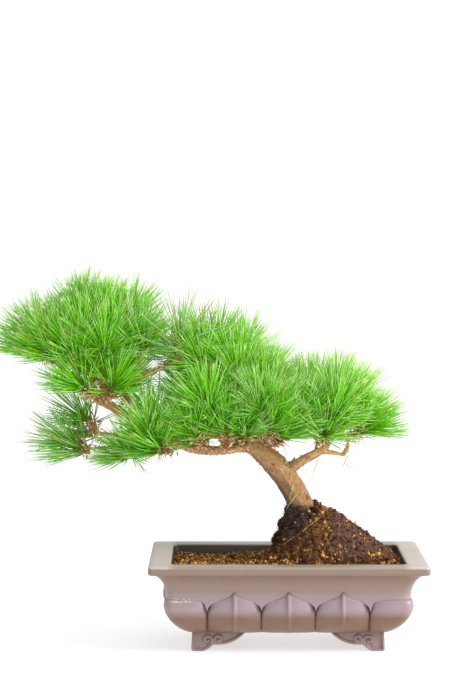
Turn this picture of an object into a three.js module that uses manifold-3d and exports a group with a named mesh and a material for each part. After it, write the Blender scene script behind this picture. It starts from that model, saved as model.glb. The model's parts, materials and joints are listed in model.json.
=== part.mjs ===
// A bonsai pine in an unglazed stoneware pot, one closed mesh for each physical piece.
//
// Millimetres, +Z up, the pot's long front towards -Y. Everything is laid out about the centre
// of the pot's footprint at the level of its feet, and the whole is then moved so that the
// origin is the middle of the object's box, at the bottom.

import * as THREE from "three";
import { mergeVertices } from "three/addons/utils/BufferGeometryUtils.js";
import Module from "manifold-3d";

const wasm = await Module();
wasm.setup();

// ---------------------------------------------------------------- driving dimensions

// Clearance between pieces that touch on the real thing.
const GAP = 0.3;

// Pot. Insets are measured inwards from the edge of the rim, the same on all four sides.
const POT_LENGTH = 300;
const POT_DEPTH = 200;
const POT_HEIGHT = 98;
const FOOT_HEIGHT = 20;
const RIM_WIDTH = 24;
const LIP_HEIGHT = 9.5;
const LIP_ROUNDING = 2.5;
const WAIST_INSET = 19;
const WAIST_Z = 62;
const BELLY_INSET = 16;
const BELLY_Z = 53.4;
const BASE_INSET = 46.4;
const BELLY_CURVE = 1.6;
const LIP_CORNER = 5;
const BODY_CORNER = 10;
const FLOOR_Z = 29;

// Lotus petals in relief round the belly.
const LONG_SIDE = { petals: 3, valley: 87 };
const SHORT_SIDE = { petals: 1, valley: 34 };
const VALLEY_DEPTH = 5;
const CREASE_DEPTH = 1.3;
const RIB_HEIGHT = 1.2;
const PETAL_VALLEY_Z = 50;
const PETAL_SHOULDER = 10.5;
const PETAL_TIP = 7.5;
const CORNER_SHOULDER = 8.5;
const CORNER_TIP = 2;

// Feet: a scrolled bracket along both faces of each corner.
const FOOT_THICKNESS = 13;
const FOOT_LENGTH = 57.5;
const FOOT_RETURN = 36;
const FOOT_SINK = 4;

// Drainage holes in the pot's floor, each under a piece of plastic mesh.
const DRAIN_RADIUS = 11;
const DRAIN_OFFSET = 52;
const MESH_RADIUS = 17;
const MESH_THICKNESS = 1.2;
const MESH_PITCH = 7;
const MESH_BAR = 2;

// Soil and root ball.
const SOIL_Z = 86;
const SOIL_ROUGHNESS = 1.1;
const BALL_TOP_Z = 155;
const BALL_PEAK_X = 16;
const BALL_FLOOR_Z = 44;
const BALL_REACH = { left: 33, right: 107, front: 62, back: 58 };
const BALL_CURVE = { left: 2.5, right: 1.8, front: 1.45, back: 1.45 };

// Needles: true length, a little stouter than life at their roots.
const NEEDLE_RADIUS = 1.25;
const NEEDLE_LENGTH = 57;
const NEEDLE_CLEARANCE = 0.2;
const NEEDLES_PER_SPRAY = 30;
// Needles that would hang are lifted towards the light: this much of their fall is left.
const DROOP = 0.15;
const WIDEST_SPREAD = 72;
const CORE_LENGTH = 18;
const CORE_RADIUS = 1.6;
const CORE_SIDES = 5;
const CORE_ROWS = 7;
const BUD_LENGTH = 2;
const TWIG_RADIUS = 1.7;
const SEED = 5021;

// ---------------------------------------------------------------- materials

const clay = new THREE.MeshStandardMaterial({ color: 0xa3917f, roughness: 0.8, metalness: 0 });
const soil = new THREE.MeshStandardMaterial({ color: 0x8a5a26, roughness: 0.95, metalness: 0 });
const rootSoil = new THREE.MeshStandardMaterial({ color: 0x4d3320, roughness: 0.95, metalness: 0 });
const bark = new THREE.MeshStandardMaterial({ color: 0xb08455, roughness: 0.85, metalness: 0 });
const foliage = new THREE.MeshStandardMaterial({ color: 0x5fae2c, roughness: 0.55, metalness: 0 });
const plastic = new THREE.MeshStandardMaterial({ color: 0x2a2a28, roughness: 0.5, metalness: 0 });

// ---------------------------------------------------------------- small helpers

const vec = (x, y, z) => new THREE.Vector3(x, y, z);
const mix = (a, b, t) => a + (b - a) * t;
const clamp = (t, low, high) => Math.min(high, Math.max(low, t));

/** A repeatable stream of numbers from 0 to 1. */
function randomStream(seed) {
  let state = seed >>> 0;
  return () => {
    state = (state + 0x6d2b79f5) >>> 0;
    let t = Math.imul(state ^ (state >>> 15), 1 | state);
    t = (t + Math.imul(t ^ (t >>> 7), 61 | t)) ^ t;
    return ((t ^ (t >>> 14)) >>> 0) / 4294967296;
  };
}

/** The closed solid that a closed geometry describes. */
function toSolid(geometry) {
  const bare = geometry.clone();
  bare.deleteAttribute("normal");
  bare.deleteAttribute("uv");
  const merged = mergeVertices(bare, 1e-4);
  return new wasm.Manifold(new wasm.Mesh({
    numProp: 3,
    vertProperties: new Float32Array(merged.attributes.position.array),
    triVerts: new Uint32Array(merged.index.array),
  }));
}

/** A named mesh from a solid. */
function toMesh(name, solid, material) {
  const faces = solid.getMesh();
  const geometry = new THREE.BufferGeometry();
  geometry.setAttribute("position", new THREE.BufferAttribute(faces.vertProperties, 3));
  geometry.setIndex(new THREE.BufferAttribute(faces.triVerts, 1));
  geometry.computeVertexNormals();
  const mesh = new THREE.Mesh(geometry, material);
  mesh.name = name;
  return mesh;
}

/** A solid skinned over rings of equally many points, bottom to top, each anticlockwise. */
function ringSolid(rings) {
  const count = rings[0].length;
  const points = rings.flat();
  const middle = (ring) => ring.reduce((sum, p) => sum.add(p), vec(0, 0, 0)).divideScalar(count);
  points.push(middle(rings[0]), middle(rings[rings.length - 1]));
  const bottom = points.length - 2;
  const top = points.length - 1;
  const faces = [];
  for (let i = 0; i < count; i += 1) {
    const next = (i + 1) % count;
    faces.push(bottom, next, i);
    for (let row = 0; row + 1 < rings.length; row += 1) {
      const low = row * count;
      const high = low + count;
      faces.push(low + i, low + next, high + next, low + i, high + next, high + i);
    }
    faces.push(top, bottom - count + i, bottom - count + next);
  }
  const geometry = new THREE.BufferGeometry().setFromPoints(points);
  geometry.setIndex(faces);
  return toSolid(geometry);
}

/** A tube along a smooth curve, its radius given at each of the curve's own points. */
function tubeSolid(path, sides, steps, grow = 0, roughness = 0, random = () => 0.5) {
  const curve = new THREE.CatmullRomCurve3(path.map((p) => vec(p[0], p[1], p[2])));
  const frames = curve.computeFrenetFrames(steps, false);
  const rings = [];
  for (let step = 0; step <= steps; step += 1) {
    const along = step / steps;
    const centre = curve.getPointAt(along);
    const overrun = step === 0 ? -grow : grow * (step === steps);
    centre.addScaledVector(frames.tangents[step], overrun);
    const place = curve.getUtoTmapping(along) * (path.length - 1);
    const index = Math.min(Math.floor(place), path.length - 2);
    const radius = mix(path[index][3], path[index + 1][3], place - index);
    const ring = [];
    for (let side = 0; side < sides; side += 1) {
      const angle = (side / sides) * 2 * Math.PI;
      const reach = radius * (1 + roughness * (random() - 0.5)) + grow;
      const offset = frames.normals[step].clone().multiplyScalar(Math.cos(angle) * reach);
      offset.addScaledVector(frames.binormals[step], Math.sin(angle) * reach);
      ring.push(centre.clone().add(offset));
    }
    rings.push(ring);
  }
  return ringSolid(rings);
}

/** A geometry turned from the +Y axis to a direction and moved to a point. */
function aimed(geometry, origin, direction) {
  const turn = new THREE.Quaternion().setFromUnitVectors(vec(0, 1, 0), direction);
  return geometry.applyQuaternion(turn).translate(origin.x, origin.y, origin.z);
}

/** How far apart two straight stretches are, beyond their own radii, which taper evenly. */
function roomBetween(one, other) {
  const u = one.to.clone().sub(one.from);
  const v = other.to.clone().sub(other.from);
  const w = one.from.clone().sub(other.from);
  const uu = u.dot(u);
  const uv = u.dot(v);
  const vv = v.dot(v);
  const uw = u.dot(w);
  const vw = v.dot(w);
  const slant = uu * vv - uv * uv;
  let s = slant > 1e-9 ? clamp((uv * vw - vv * uw) / slant, 0, 1) : 0;
  const t = clamp((uv * s + vw) / vv, 0, 1);
  s = clamp((uv * t - uw) / uu, 0, 1);
  const distance = w.addScaledVector(u, s).addScaledVector(v, -t).length();
  return distance - mix(one.radius, one.endRadius, s) - mix(other.radius, other.endRadius, t);
}

// ---------------------------------------------------------------- pot

/** Points round the pot's plan: three to a petal lobe, and the corner petals' own. */
function plan() {
  const lobe = [0, 0.12, 0.35, 0.65, 0.9];
  const cornerPetal = [0, 0.45, 0.8];
  const stations = [];
  for (let face = 0; face < 4; face += 1) {
    const side = face % 2 === 0 ? LONG_SIDE : SHORT_SIDE;
    const pitch = (2 * side.valley) / side.petals;
    const shared = { face, valley: side.valley };
    cornerPetal.forEach((w) => stations.push({ ...shared, end: -1, w }));
    for (let petal = 0; petal < side.petals; petal += 1) {
      const centre = -side.valley + (petal + 0.5) * pitch;
      stations.push({ ...shared, along: centre - pitch / 2, u: 1 });
      lobe.slice(1).reverse().forEach((u) => {
        stations.push({ ...shared, along: centre - (u * pitch) / 2, u });
      });
      lobe.forEach((u) => stations.push({ ...shared, along: centre + (u * pitch) / 2, u }));
    }
    stations.push({ ...shared, along: side.valley, u: 1 });
    cornerPetal.slice().reverse().forEach((w) => stations.push({ ...shared, end: 1, w }));
    [30, 60].forEach((turn) => stations.push({ ...shared, turn, w: 0 }));
  }
  return stations;
}

/** Points round a plain rectangle with rounded corners. */
function plainPlan() {
  const stations = [];
  for (let face = 0; face < 4; face += 1) {
    stations.push({ face, end: -1, w: 0 });
    stations.push({ face, end: 1, w: 0 });
    [30, 60].forEach((turn) => stations.push({ face, turn, w: 0 }));
  }
  return stations;
}

/** Where a station lies in plan, for an inset from the rim's edge and a corner radius. */
function planPoint(station, inset, corner, z) {
  const halfLength = (station.face % 2 === 0 ? POT_LENGTH : POT_DEPTH) / 2 - inset;
  const halfDepth = (station.face % 2 === 0 ? POT_DEPTH : POT_LENGTH) / 2 - inset;
  const straight = halfLength - corner;
  let along = station.along;
  let out = halfDepth;
  if (station.end) {
    along = station.end * mix(straight, station.valley ?? 0, station.w);
  } else if (station.turn) {
    const angle = THREE.MathUtils.degToRad(station.turn);
    along = straight + corner * Math.sin(angle);
    out = halfDepth - corner + corner * Math.cos(angle);
  }
  const heading = (station.face * Math.PI) / 2;
  const cos = Math.cos(heading);
  const sin = Math.sin(heading);
  return vec(along * cos + out * sin, along * sin - out * cos, z);
}

/** Height of a petal's upper edge at a station. */
function petalTop(station) {
  if (station.u !== undefined) {
    const shoulder = PETAL_SHOULDER * Math.sqrt(1 - station.u ** 3);
    return PETAL_VALLEY_Z + shoulder + PETAL_TIP * (1 - station.u) ** 4;
  }
  const shoulder = CORNER_SHOULDER * Math.sqrt(1 - station.w ** 4);
  return PETAL_VALLEY_Z + shoulder + CORNER_TIP * (1 - station.w) ** 3;
}

/** How far a station lies behind the petals' crest: valleys, creases and raised ribs. */
function petalDepth(station) {
  const hollow = (v) => 1 - Math.sqrt(1 - v * v);
  if (station.u === 0) {
    return -RIB_HEIGHT;
  }
  if (station.u !== undefined) {
    const v = Math.abs(station.u - 0.5) / 0.5;
    return (station.u > 0.5 ? VALLEY_DEPTH : CREASE_DEPTH) * hollow(v);
  }
  const cornerCrown = 0.55;
  return VALLEY_DEPTH * hollow(Math.max(0, (station.w - cornerCrown) / (1 - cornerCrown)));
}

/** Inset of the petals' crest at a height. The petals lean in a little above the belly. */
function bellyInset(z) {
  const lean = 1.8;
  const tipZ = WAIST_Z + 7;
  if (z > BELLY_Z) {
    return BELLY_INSET + lean * ((z - BELLY_Z) / (tipZ - BELLY_Z)) ** 2;
  }
  const drop = (BELLY_Z - z) / (BELLY_Z - FOOT_HEIGHT);
  const spread = (1 - drop ** BELLY_CURVE) ** (1 / BELLY_CURVE);
  return mix(BASE_INSET, BELLY_INSET, spread);
}

/** The belt of petals, as a solid out to their faces. */
function petalBelt() {
  const stations = plan();
  const heights = [0, 0.13, 0.3, 0.55, 0.88, 1];
  const edgeRounding = 1.2;
  const ledge = 8;
  const baseRelief = 0.55;
  const fullReliefShare = 0.4;
  const rings = heights.map((share) => stations.map((station) => {
    const z = mix(FOOT_HEIGHT, petalTop(station), share);
    const fade = mix(baseRelief, 1, Math.min(1, share / fullReliefShare));
    const relief = petalDepth(station) * fade;
    const rounding = share === 1 ? edgeRounding : 0;
    return planPoint(station, bellyInset(z) + relief + rounding, BODY_CORNER, z);
  }));
  rings.push(stations.map((station) => {
    const z = petalTop(station);
    return planPoint(station, bellyInset(z) + ledge, BODY_CORNER, z);
  }));
  return ringSolid(rings);
}

/** The wall above the petals: waist, cavetto and rim, solid to the top of the rim. */
function upperBody() {
  const stations = plainPlan();
  const lipZ = POT_HEIGHT - LIP_HEIGHT;
  const overhang = 2;
  const hiddenFoot = [
    [32, 36, BODY_CORNER],
    [24, 44, BODY_CORNER],
    [WAIST_INSET + 0.5, 52, BODY_CORNER],
  ];
  const cavetto = [90, 72, 54, 36, 18, 4].map((turn) => {
    const angle = THREE.MathUtils.degToRad(turn);
    const inset = mix(overhang, WAIST_INSET, Math.sin(angle));
    const z = mix(WAIST_Z, lipZ, Math.cos(angle));
    return [inset, z, mix(LIP_CORNER, BODY_CORNER, turn / 90)];
  });
  const lip = [
    [0.4, lipZ + 1, LIP_CORNER],
    [0, lipZ + 3, LIP_CORNER],
    [0, POT_HEIGHT - 2.2, LIP_CORNER],
    [0.8, POT_HEIGHT - 0.6, LIP_CORNER],
    [LIP_ROUNDING, POT_HEIGHT, LIP_CORNER],
  ];
  const rows = [...hiddenFoot, ...cavetto, ...lip];
  return ringSolid(rows.map(([inset, z, corner]) => (
    stations.map((station) => planPoint(station, inset, corner, z))
  )));
}

/** The pot's inner space, drawn in by a gap on its walls and floor. */
function innerSpace(gap, topZ) {
  const stations = plainPlan();
  const corner = 7;
  const chamfer = 1.5;
  const rows = [
    [49, FLOOR_Z + gap],
    [32, FLOOR_Z + 13],
    [RIM_WIDTH + 1, FLOOR_Z + 31],
    [RIM_WIDTH, POT_HEIGHT - chamfer],
    [RIM_WIDTH - chamfer - 0.5, topZ],
  ];
  return ringSolid(rows.map(([inset, z]) => (
    stations.map((station) => planPoint(station, inset + gap, corner, z))
  )));
}

/** A foot's outline: a tall outer lobe and a long low one that runs up to the bowl. */
function footOutline(length) {
  const stretch = length / FOOT_LENGTH;
  const shape = new THREE.Shape();
  shape.moveTo(0, FOOT_HEIGHT + FOOT_SINK);
  shape.lineTo(-1, 3);
  shape.quadraticCurveTo(-0.5, 0, 2, 0);
  shape.lineTo(12, 0);
  shape.quadraticCurveTo(17 * stretch, 1, 23 * stretch, 7);
  shape.quadraticCurveTo(43 * stretch, 5, length, FOOT_HEIGHT);
  shape.lineTo(50 * stretch, FOOT_HEIGHT + FOOT_SINK);
  return shape;
}

/** One foot for the corner where both x and y are positive, in the corner's own frame. */
function cornerFoot() {
  const settings = { depth: FOOT_THICKNESS, bevelEnabled: false, curveSegments: 4 };
  const front = new THREE.ExtrudeGeometry(footOutline(FOOT_LENGTH), settings);
  front.rotateX(Math.PI / 2);
  front.translate(0, FOOT_THICKNESS, 0);
  const side = new THREE.ExtrudeGeometry(footOutline(FOOT_RETURN), settings);
  side.rotateX(Math.PI / 2);
  side.rotateZ(Math.PI / 2);
  return toSolid(front).add(toSolid(side));
}

/** All four feet, mirrored about the pot's two middle planes. */
function feet() {
  const cornerX = POT_LENGTH / 2 - BASE_INSET;
  const cornerY = POT_DEPTH / 2 - BASE_INSET;
  const foot = cornerFoot().translate([-cornerX, -cornerY, 0]);
  const left = foot.add(foot.mirror([0, 1, 0]));
  return left.add(left.mirror([1, 0, 0]));
}

/** An upright cylinder. */
function post(radius, lowZ, highZ, x) {
  const geometry = new THREE.CylinderGeometry(radius, radius, highZ - lowZ, 20);
  geometry.rotateX(Math.PI / 2);
  return toSolid(geometry.translate(x, 0, (lowZ + highZ) / 2));
}

function potSolid() {
  let pot = upperBody().add(petalBelt()).add(feet());
  pot = pot.subtract(innerSpace(0, POT_HEIGHT + 0.5));
  const overrun = 5;
  [-DRAIN_OFFSET, DRAIN_OFFSET].forEach((x) => {
    pot = pot.subtract(post(DRAIN_RADIUS, FOOT_HEIGHT - overrun, FLOOR_Z + overrun, x));
  });
  return pot;
}

/** A round piece of square-holed plastic mesh, lying on the pot's floor over a drainage hole. */
function drainageMesh() {
  let disc = post(MESH_RADIUS, 0, MESH_THICKNESS, 0);
  const hole = MESH_PITCH - MESH_BAR;
  for (let column = -1; column <= 1; column += 1) {
    for (let row = -1; row <= 1; row += 1) {
      const plug = new THREE.BoxGeometry(hole, hole, 4 * MESH_THICKNESS);
      plug.translate(column * MESH_PITCH, row * MESH_PITCH, 0);
      disc = disc.subtract(toSolid(plug));
    }
  }
  return disc;
}

// ---------------------------------------------------------------- soil and root ball

/** Low mounds and hollows, from -1 to 1. */
const unevenness = (x, y) => (
  0.5 * Math.sin(x * 0.21 + 1.3 * Math.sin(y * 0.17)) + 0.5 * Math.sin(y * 0.27 + x * 0.09 + 2)
);

/** A slab with an uneven top, wider than the pot. */
function unevenSlab() {
  const columns = 16;
  const rows = 10;
  const slab = new THREE.BoxGeometry(POT_LENGTH, POT_DEPTH, SOIL_Z, columns, rows, 1);
  slab.translate(0, 0, SOIL_Z / 2);
  const position = slab.attributes.position;
  for (let i = 0; i < position.count; i += 1) {
    if (position.getZ(i) > SOIL_Z / 2) {
      const lift = SOIL_ROUGHNESS * unevenness(position.getX(i), position.getY(i));
      position.setZ(i, SOIL_Z + lift);
    }
  }
  return toSolid(slab);
}

/** The root ball's reach and curve in a direction, eased between its four quarters. */
function ballQuarter(angle) {
  const cos = Math.cos(angle);
  const sin = Math.sin(angle);
  const side = cos > 0 ? "right" : "left";
  const front = sin > 0 ? "back" : "front";
  const reach = 1 / Math.hypot(cos / BALL_REACH[side], sin / BALL_REACH[front]);
  const curve = mix(BALL_CURVE[side], BALL_CURVE[front], sin * sin);
  return { reach, curve };
}

/** The root ball: a sunk stump of soil and roots, heaped up round the trunk's foot. */
function rootBall(grow, random) {
  const spokes = 22;
  const shares = [1, 0.9, 0.76, 0.6, 0.43, 0.26, 0.11];
  const lumps = 0.1;
  const footShare = 0.9;
  const shoulderZ = SOIL_Z - 14;
  const outline = (share, z, lumpy) => {
    const ring = [];
    for (let spoke = 0; spoke < spokes; spoke += 1) {
      const angle = (spoke / spokes) * 2 * Math.PI;
      const { reach, curve } = ballQuarter(angle);
      const lump = lumpy ? 1 + lumps * (random() - 0.5) : 1;
      const radius = reach * share * lump + grow;
      const height = z ?? mix(BALL_TOP_Z, SOIL_Z + 1, share ** curve);
      ring.push(vec(BALL_PEAK_X + radius * Math.cos(angle), radius * Math.sin(angle), height));
    }
    return ring;
  };
  const rings = [outline(footShare, BALL_FLOOR_Z - grow, false), outline(1, shoulderZ, false)];
  shares.forEach((share) => rings.push(outline(share, undefined, share < 1)));
  return ringSolid(rings);
}

// ---------------------------------------------------------------- wood

// Each limb is a list of [x, y, z, radius], from its thick end.
const LIMBS = {
  trunk: [
    [36, 0, 100, 14], [30, 0, 120, 15.2], [23, 0, 136, 15], [14, 0, 155, 14.4], [1, -2, 179, 13.6],
    [-15, -4, 199, 12.8], [-30, -4, 213, 11.6], [-44, -2, 223, 9.6], [-62, 2, 230, 8.2],
    [-85, 8, 232, 7.4], [-113, 10, 229, 6.8], [-140, 6, 229, 6.4], [-160, 2, 237, 6],
    [-178, 0, 251, 5.4], [-195, -4, 263, 5.2], [-209, -8, 270, 4.6],
  ],
  lowerBough: [
    [-26, -3, 211, 6], [-34, -7, 215, 5.6], [-50, -16, 217, 5], [-68, -24, 215, 4.4],
    [-90, -30, 214, 4], [-111, -34, 219, 3.4], [-126, -36, 224, 2.6],
  ],
  rightBough: [
    [-3, -2, 186, 7.4], [12, -6, 199, 6], [28, -8, 208, 5.4], [41, -8, 215, 4.6],
    [47, -4, 224, 3.8], [44, 3, 237, 3.2], [38, 7, 246, 2.6],
  ],
  rightTwig: [[36, -8, 212, 3.4], [51, -12, 211, 2.6], [61, -16, 209, 2.4], [66, -18, 217, 2.1]],
  crossingBranch: [
    [-200, -4, 266, 3.6], [-186, -14, 277, 3], [-169, -20, 289, 2.6], [-150, -24, 298, 2.5],
    [-136, -26, 305, 2.2],
  ],
  leftLeader: [[-203, -6, 267, 4], [-202, 4, 284, 3.4], [-201, 8, 305, 2.8], [-202, 10, 328, 2.2]],
  leftMiddle: [[-206, -8, 269, 3.8], [-216, 14, 290, 3], [-225, 20, 316, 2.3]],
  leftFar: [[-208, -8, 270, 3.8], [-228, -6, 283, 2.8], [-248, -4, 301, 2.2]],
  leftLow: [[-160, 2, 236, 3.6], [-183, 14, 226, 2.8], [-199, 18, 229, 2.2]],
  leftLowest: [[-140, 6, 228, 3.8], [-164, -2, 220, 2.8], [-193, -6, 216, 2.4], [-207, -8, 216, 2]],
  crownFront: [[-34, -3, 218, 4.6], [-28, -10, 238, 3.4], [-25, -15, 258, 2.4]],
  crownMiddle: [[-62, 2, 230, 4.6], [-64, 5, 250, 3.6], [-70, 6, 272, 2.8], [-79, 5, 290, 2.2]],
  crownBack: [[-29, -3, 214, 4.8], [-37, 12, 234, 3.6], [-46, 22, 254, 2.9], [-52, 26, 274, 2.3]],
  backLeft: [[-113, 10, 229, 4.2], [-124, 24, 238, 3], [-138, 34, 245, 2.2]],
};

// Surface roots, gripping the root ball as they go down.
const ROOTS = [
  [[22, -3, 146, 9], [8, -8, 139, 6.5], [-3, -12, 122, 4.6], [-9, -14, 102, 3]],
  [[28, 5, 140, 9], [12, 16, 134, 6], [3, 26, 116, 4.4], [0, 34, 100, 3]],
  [[32, -6, 134, 9], [46, -18, 126, 6], [60, -32, 108, 4.2], [66, -40, 98, 3]],
];

// The foot of each shoot, the way that it points, and what sets it apart from the others.
const SHOOTS = [
  // left pad
  { at: [-268, -4, 319], aim: [-1, 0, 0.35] },
  { at: [-239, 24, 332], aim: [-0.8, 0.35, 0.6] },
  { at: [-229, 18, 343], aim: [-0.2, 0.2, 1] },
  { at: [-202, 12, 343], aim: [0.05, 0.1, 1] },
  { at: [-179, 8, 337], aim: [0.25, -0.1, 1] },
  { at: [-186, -2, 318], aim: [0.8, -0.3, 0.5] },
  { at: [-215, -32, 280], aim: [-0.9, -0.5, 0.6] },
  { at: [-194, -26, 278], aim: [0.6, -0.6, 0.7] },
  { at: [-247, 30, 314], aim: [-0.9, 0.5, 0.2] },
  { at: [-215, 44, 294], aim: [-0.3, 0.9, 0.5] },
  { at: [-178, 38, 270], aim: [0, 0.9, 0.5], needles: 24 },
  { at: [-250, -26, 316], aim: [-0.7, -0.7, 0.4] },
  { at: [-160, -20, 318], aim: [0.5, -0.5, 0.8] },
  { at: [-225, -22, 312], aim: [-0.5, -0.7, 0.6] },
  { at: [-200, -24, 316], aim: [0.1, -0.7, 0.8] },
  { at: [-216, 2, 328], aim: [-0.3, -0.3, 1] },
  // low left tufts
  { at: [-229, -6, 222], aim: [-1, -0.1, 0.25], spread: 58, droop: 0.6 },
  { at: [-219, -14, 215], aim: [-1, -0.3, -0.05], spread: 50, droop: 0.6 },
  { at: [-215, 18, 240], aim: [-0.8, 0.3, 0.6], needles: 24 },
  { at: [-213, 26, 229], aim: [-1, 0.5, 0], spread: 60, droop: 0.6 },
  // crossing branch
  { at: [-117, -26, 323], aim: [0.1, -0.1, 1], spread: 78 },
  { at: [-127, -10, 313], aim: [-0.1, 0.8, 0.6] },
  // lower front edge of the crown
  { at: [-134, -38, 219], aim: [-1, -0.5, 0.3] },
  { at: [-168, -20, 216], aim: [-0.6, -0.7, 0.1], needles: 20, reach: 38, spread: 56 },
  { at: [-97, -36, 230], aim: [-0.7, -0.5, 0.7] },
  { at: [-67, -42, 230], aim: [0, -0.4, 1] },
  { at: [-20, -36, 235], aim: [0.5, -0.5, 0.8] },
  { at: [-8, -18, 226], aim: [0.9, -0.4, 0.4] },
  { at: [-148, -32, 233], aim: [-0.3, -0.8, 0.6] },
  { at: [-46, -34, 229], aim: [0.2, -0.7, 0.8] },
  { at: [13, -18, 244], aim: [0.4, -0.6, 0.8] },
  { at: [-83, -44, 258], aim: [-0.2, -0.6, 0.9] },
  { at: [-23, -46, 256], aim: [0.2, -0.7, 0.8] },
  // top of the crown
  { at: [-26, -18, 266], aim: [0.1, -0.3, 1] },
  { at: [-83, 5, 297], aim: [-0.1, 0, 1] },
  { at: [-56, 20, 287], aim: [0.2, 0.3, 1] },
  { at: [2, 8, 250], aim: [0.6, 0.1, 0.9] },
  { at: [-31, 32, 274], aim: [0.3, 0.5, 0.9] },
  { at: [-52, -16, 275], aim: [-0.1, -0.5, 0.9] },
  { at: [-82, -21, 276], aim: [-0.3, -0.5, 0.9] },
  { at: [-109, 0, 270], aim: [-0.3, 0, 1] },
  { at: [-92, 30, 278], aim: [-0.1, 0.7, 0.8] },
  // right pad
  { at: [33, 9, 256], aim: [-0.1, 0.1, 1] },
  { at: [60, -8, 244], aim: [0.3, -0.4, 1] },
  { at: [75, -22, 234], aim: [1, -0.3, 0.4] },
  { at: [38, -24, 229], aim: [0.2, -0.8, 0.3] },
  { at: [58, 22, 252], aim: [0.6, 0.4, 0.9] },
  { at: [58, 24, 238], aim: [0.8, 0.7, 0.2] },
  { at: [48, -30, 248], aim: [0.3, -0.7, 0.8] },
  // back of the crown
  { at: [-100, 42, 254], aim: [-0.2, 0.9, 0.5], needles: 24 },
  { at: [-62, 52, 258], aim: [0, 0.9, 0.5], needles: 24 },
  { at: [-20, 48, 256], aim: [0.2, 0.9, 0.5], needles: 24 },
  { at: [24, 38, 252], aim: [0.4, 0.9, 0.4], needles: 24 },
  { at: [-142, 42, 248], aim: [-0.4, 0.9, 0.3], needles: 24 },
];

/** Straight stretches that stand for a limb where needles are kept clear of it. */
function stretchesOf(path, count) {
  const curve = new THREE.CatmullRomCurve3(path.map((p) => vec(p[0], p[1], p[2])));
  const places = curve.getPoints(count);
  const last = path.length - 1;
  return places.slice(1).map((end, i) => {
    const radius = path[Math.floor((i / count) * last)][3];
    return { from: places[i], to: end, radius, endRadius: radius };
  });
}

/** The point on a straight stretch that lies nearest to a given point. */
function nearestOn(stretch, point) {
  return new THREE.Line3(stretch.from, stretch.to).closestPointToPoint(point, true, vec(0, 0, 0));
}

/** The straight stretch of a shoot's core. */
function coreOf(shoot) {
  return {
    from: shoot.foot.clone().addScaledVector(shoot.aim, GAP),
    to: shoot.foot.clone().addScaledVector(shoot.aim, CORE_LENGTH + BUD_LENGTH),
    radius: CORE_RADIUS,
    endRadius: CORE_RADIUS,
  };
}

/** A twig's path from a point on the wood to a shoot's foot, bowed by a share of its length. */
function twigPath(start, thick, shoot, bow) {
  const shortest = 8;
  const neckLength = 2;
  const distance = start.distanceTo(shoot.foot);
  const bend = shoot.foot.clone().addScaledVector(shoot.aim, -bow * distance).lerp(start, 0.25);
  const neck = shoot.foot.clone().addScaledVector(shoot.aim, -neckLength);
  const point = (place, radius) => [place.x, place.y, place.z, radius];
  const path = [point(start, thick), point(neck, TWIG_RADIUS), point(shoot.foot, TWIG_RADIUS)];
  if (distance > shortest) {
    path.splice(1, 0, point(bend, mix(thick, TWIG_RADIUS, 0.6)));
  }
  return path;
}

/** A way from the wood to a shoot that passes clear of the other shoots, the shortest first. */
function findTwig(shoot, wood, cores) {
  const starts = wood.map((stretch) => {
    const start = nearestOn(stretch, shoot.foot);
    return { start, radius: stretch.radius, distance: start.distanceTo(shoot.foot) };
  }).sort((one, other) => one.distance - other.distance);
  const bows = [0.45, 0.2, 0.7];
  const stoutest = 3;
  for (const { start, radius } of starts) {
    const thick = clamp(radius * 0.8, TWIG_RADIUS, stoutest);
    for (const bow of bows) {
      const path = twigPath(start, thick, shoot, bow);
      const free = stretchesOf(path, 6).every((stretch) => (
        cores.every((core) => roomBetween(stretch, core) > 2 * GAP)
      ));
      if (free) {
        return path;
      }
    }
  }
  throw new Error("a shoot has no way to the wood");
}

/** Twigs from the wood to each shoot, the nearest shoots first, so that twigs branch. */
function growTwigs(shoots, wood) {
  const twigs = [];
  const waiting = [...shoots];
  const distanceTo = (shoot) => Math.min(
    ...wood.map((stretch) => nearestOn(stretch, shoot.foot).distanceTo(shoot.foot)),
  );
  while (waiting.length > 0) {
    const distances = waiting.map(distanceTo);
    const pick = distances.indexOf(Math.min(...distances));
    const shoot = waiting.splice(pick, 1)[0];
    const cores = shoots.filter((other) => other !== shoot).map(coreOf);
    const path = findTwig(shoot, wood, cores);
    twigs.push(path);
    wood.push(...stretchesOf(path, 4));
  }
  return twigs;
}

// ---------------------------------------------------------------- needles

/** The points of a core, ring above ring, each ring turned half a step from the one below. */
function coreRings() {
  const rings = [];
  for (let row = 0; row <= CORE_ROWS; row += 1) {
    const share = row / (CORE_ROWS + 1);
    const radius = CORE_RADIUS * Math.sqrt(1 - share ** 4);
    const ring = [];
    for (let side = 0; side < CORE_SIDES; side += 1) {
      const angle = ((side + row / 2) / CORE_SIDES) * 2 * Math.PI;
      ring.push(vec(radius * Math.cos(angle), share * CORE_LENGTH, -radius * Math.sin(angle)));
    }
    rings.push(ring);
  }
  return rings;
}

/** Whether two needles of one spray come together beyond their roots. */
function crossesSister(one, other) {
  const rootShare = 0.08;
  const leastRoom = 0.05;
  const past = (needle) => ({
    ...needle,
    from: needle.from.clone().lerp(needle.to, rootShare),
    radius: NEEDLE_RADIUS * (1 - rootShare),
  });
  return roomBetween(past(one), past(other)) < leastRoom;
}

/** A needle may run where it keeps clear of all wood, the other cores and all other needles. */
function isClear(needle, obstacles) {
  return obstacles.every((other) => {
    if (other.owner === needle.owner) {
      return other.isCore || !crossesSister(needle, other);
    }
    return roomBetween(needle, other) >= NEEDLE_CLEARANCE;
  });
}

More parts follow.
